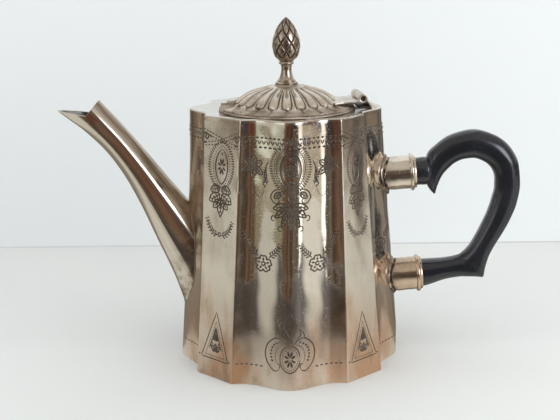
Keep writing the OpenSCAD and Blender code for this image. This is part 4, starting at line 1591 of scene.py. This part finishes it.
def stand():
    # the floor and the wall, and a table and a narrow wall that only reflections show
    floorPaint = palePaint("floor paint", (0.775, 0.78, 0.765))
    wallPaint = palePaint("wall paint", (0.905, 0.93, 0.945), oneSided=True)
    floor = sheetOf("floor", (-4, -4, 0), (4, 4, 0), floorPaint)
    floor.visible_glossy = False
    left, front, right = room["tableLeft"], room["tableFront"], room["tableRight"]
    back, half = room["wallY"], room["wallHalf"]
    table = sheetOf("table", (left, front, 0), (right, back, 0), tablePaint())
    backdrop = sheetOf("backdrop", (-4, back, 0), (4, back, 1.6), wallPaint)
    backdrop.visible_glossy = False
    screen = sheetOf("screen", (-half, back, 0), (half, back, 1.6), wallPaint)
    for mirroredOnly in (table, screen):
        mirroredOnly.visible_camera = mirroredOnly.visible_diffuse = mirroredOnly.visible_shadow = False


stand()


def sky():
    # soft white daylight; what the silver mirrors is a room whose colour changes round the horizon
    # and turns to a pale ceiling higher up
    world = bpy.data.worlds.new("room")
    bpy.context.scene.world = world
    world.use_nodes = True
    g = Graph(world.node_tree)
    x, y, z = g.split(g.node("ShaderNodeTexCoord"))
    low, level, above = (horizon(g, x, y, key)[0] for key in ("low", "level", "above"))
    mirrored = g.mix(g.between(z, -0.064, -0.055), low, level)
    mirrored = g.mix(g.between(z, 0.03, 0.08), mirrored, above)
    mirrored = g.mix(g.between(z, 0.35, 0.6), mirrored, rgb(*room["ceiling"]))
    glossy = g.node("ShaderNodeLightPath", output="Is Glossy Ray")
    seen = g.mix(glossy, rgb(*room["daylight"]), mirrored)
    background = next(n for n in g.tree.nodes if n.type == "BACKGROUND")
    g.feed(background.inputs[0], seen)
    background.inputs[1].default_value = 1.0


sky()


def stood(axes, place):
    # the matrix of an object whose own axes are the columns, at this place
    return Matrix([[*row, p] for row, p in zip(axes, place)] + [[0, 0, 0, 1]])


def softLight(name, place, aim, size, power, colour=(1, 1, 1)):
    # a rectangle of light at one point, turned to another
    data = bpy.data.lights.new(name, "AREA")
    data.shape = "RECTANGLE"
    data.size, data.size_y = size
    data.energy = power
    data.color = colour
    light = bpy.data.objects.new(name, data)
    bpy.context.scene.collection.objects.link(light)
    back = np.array(place, float) - np.array(aim, float)
    back /= np.linalg.norm(back)
    right = np.cross((0, 0, 1), back)
    right /= np.linalg.norm(right)
    up = np.cross(back, right)
    light.matrix_world = stood(np.stack([right, up, back], 1), place)
    return light


window = softLight("window", (1.3, -0.9, 1.5), (0, 0, 0.08), (1.2, 1.2), 3, (1.0, 0.995, 0.98))
window.visible_glossy = False


def setCamera():
    # the view: a level heading, then the tilt down and a small roll
    view = {"back": 0.6223, "height": 0.2287, "down": math.radians(13.63), "left": math.radians(0.38),
            "roll": math.radians(-0.70), "focal": 1232.4 / 560}
    heading = np.array([-math.sin(view["left"]), math.cos(view["left"]), 0])
    right = np.array([math.cos(view["left"]), math.sin(view["left"]), 0])
    ahead = math.cos(view["down"]) * heading - math.sin(view["down"]) * np.array([0, 0, 1])
    up = math.sin(view["down"]) * heading + math.cos(view["down"]) * np.array([0, 0, 1])
    c, s = math.cos(view["roll"]), math.sin(view["roll"])
    axes = np.stack([right * c + up * s, up * c - right * s, -ahead], 1)
    data = bpy.data.cameras.new("camera")
    data.sensor_width = 36
    data.lens = 36 * view["focal"]
    data.clip_start = 0.01
    camera = bpy.data.objects.new("camera", data)
    bpy.context.scene.collection.objects.link(camera)
    camera.matrix_world = stood(axes, (0, -view["back"], view["height"]))
    bpy.context.scene.camera = camera


setCamera()
bpy.context.scene.view_settings.view_transform = "Standard"
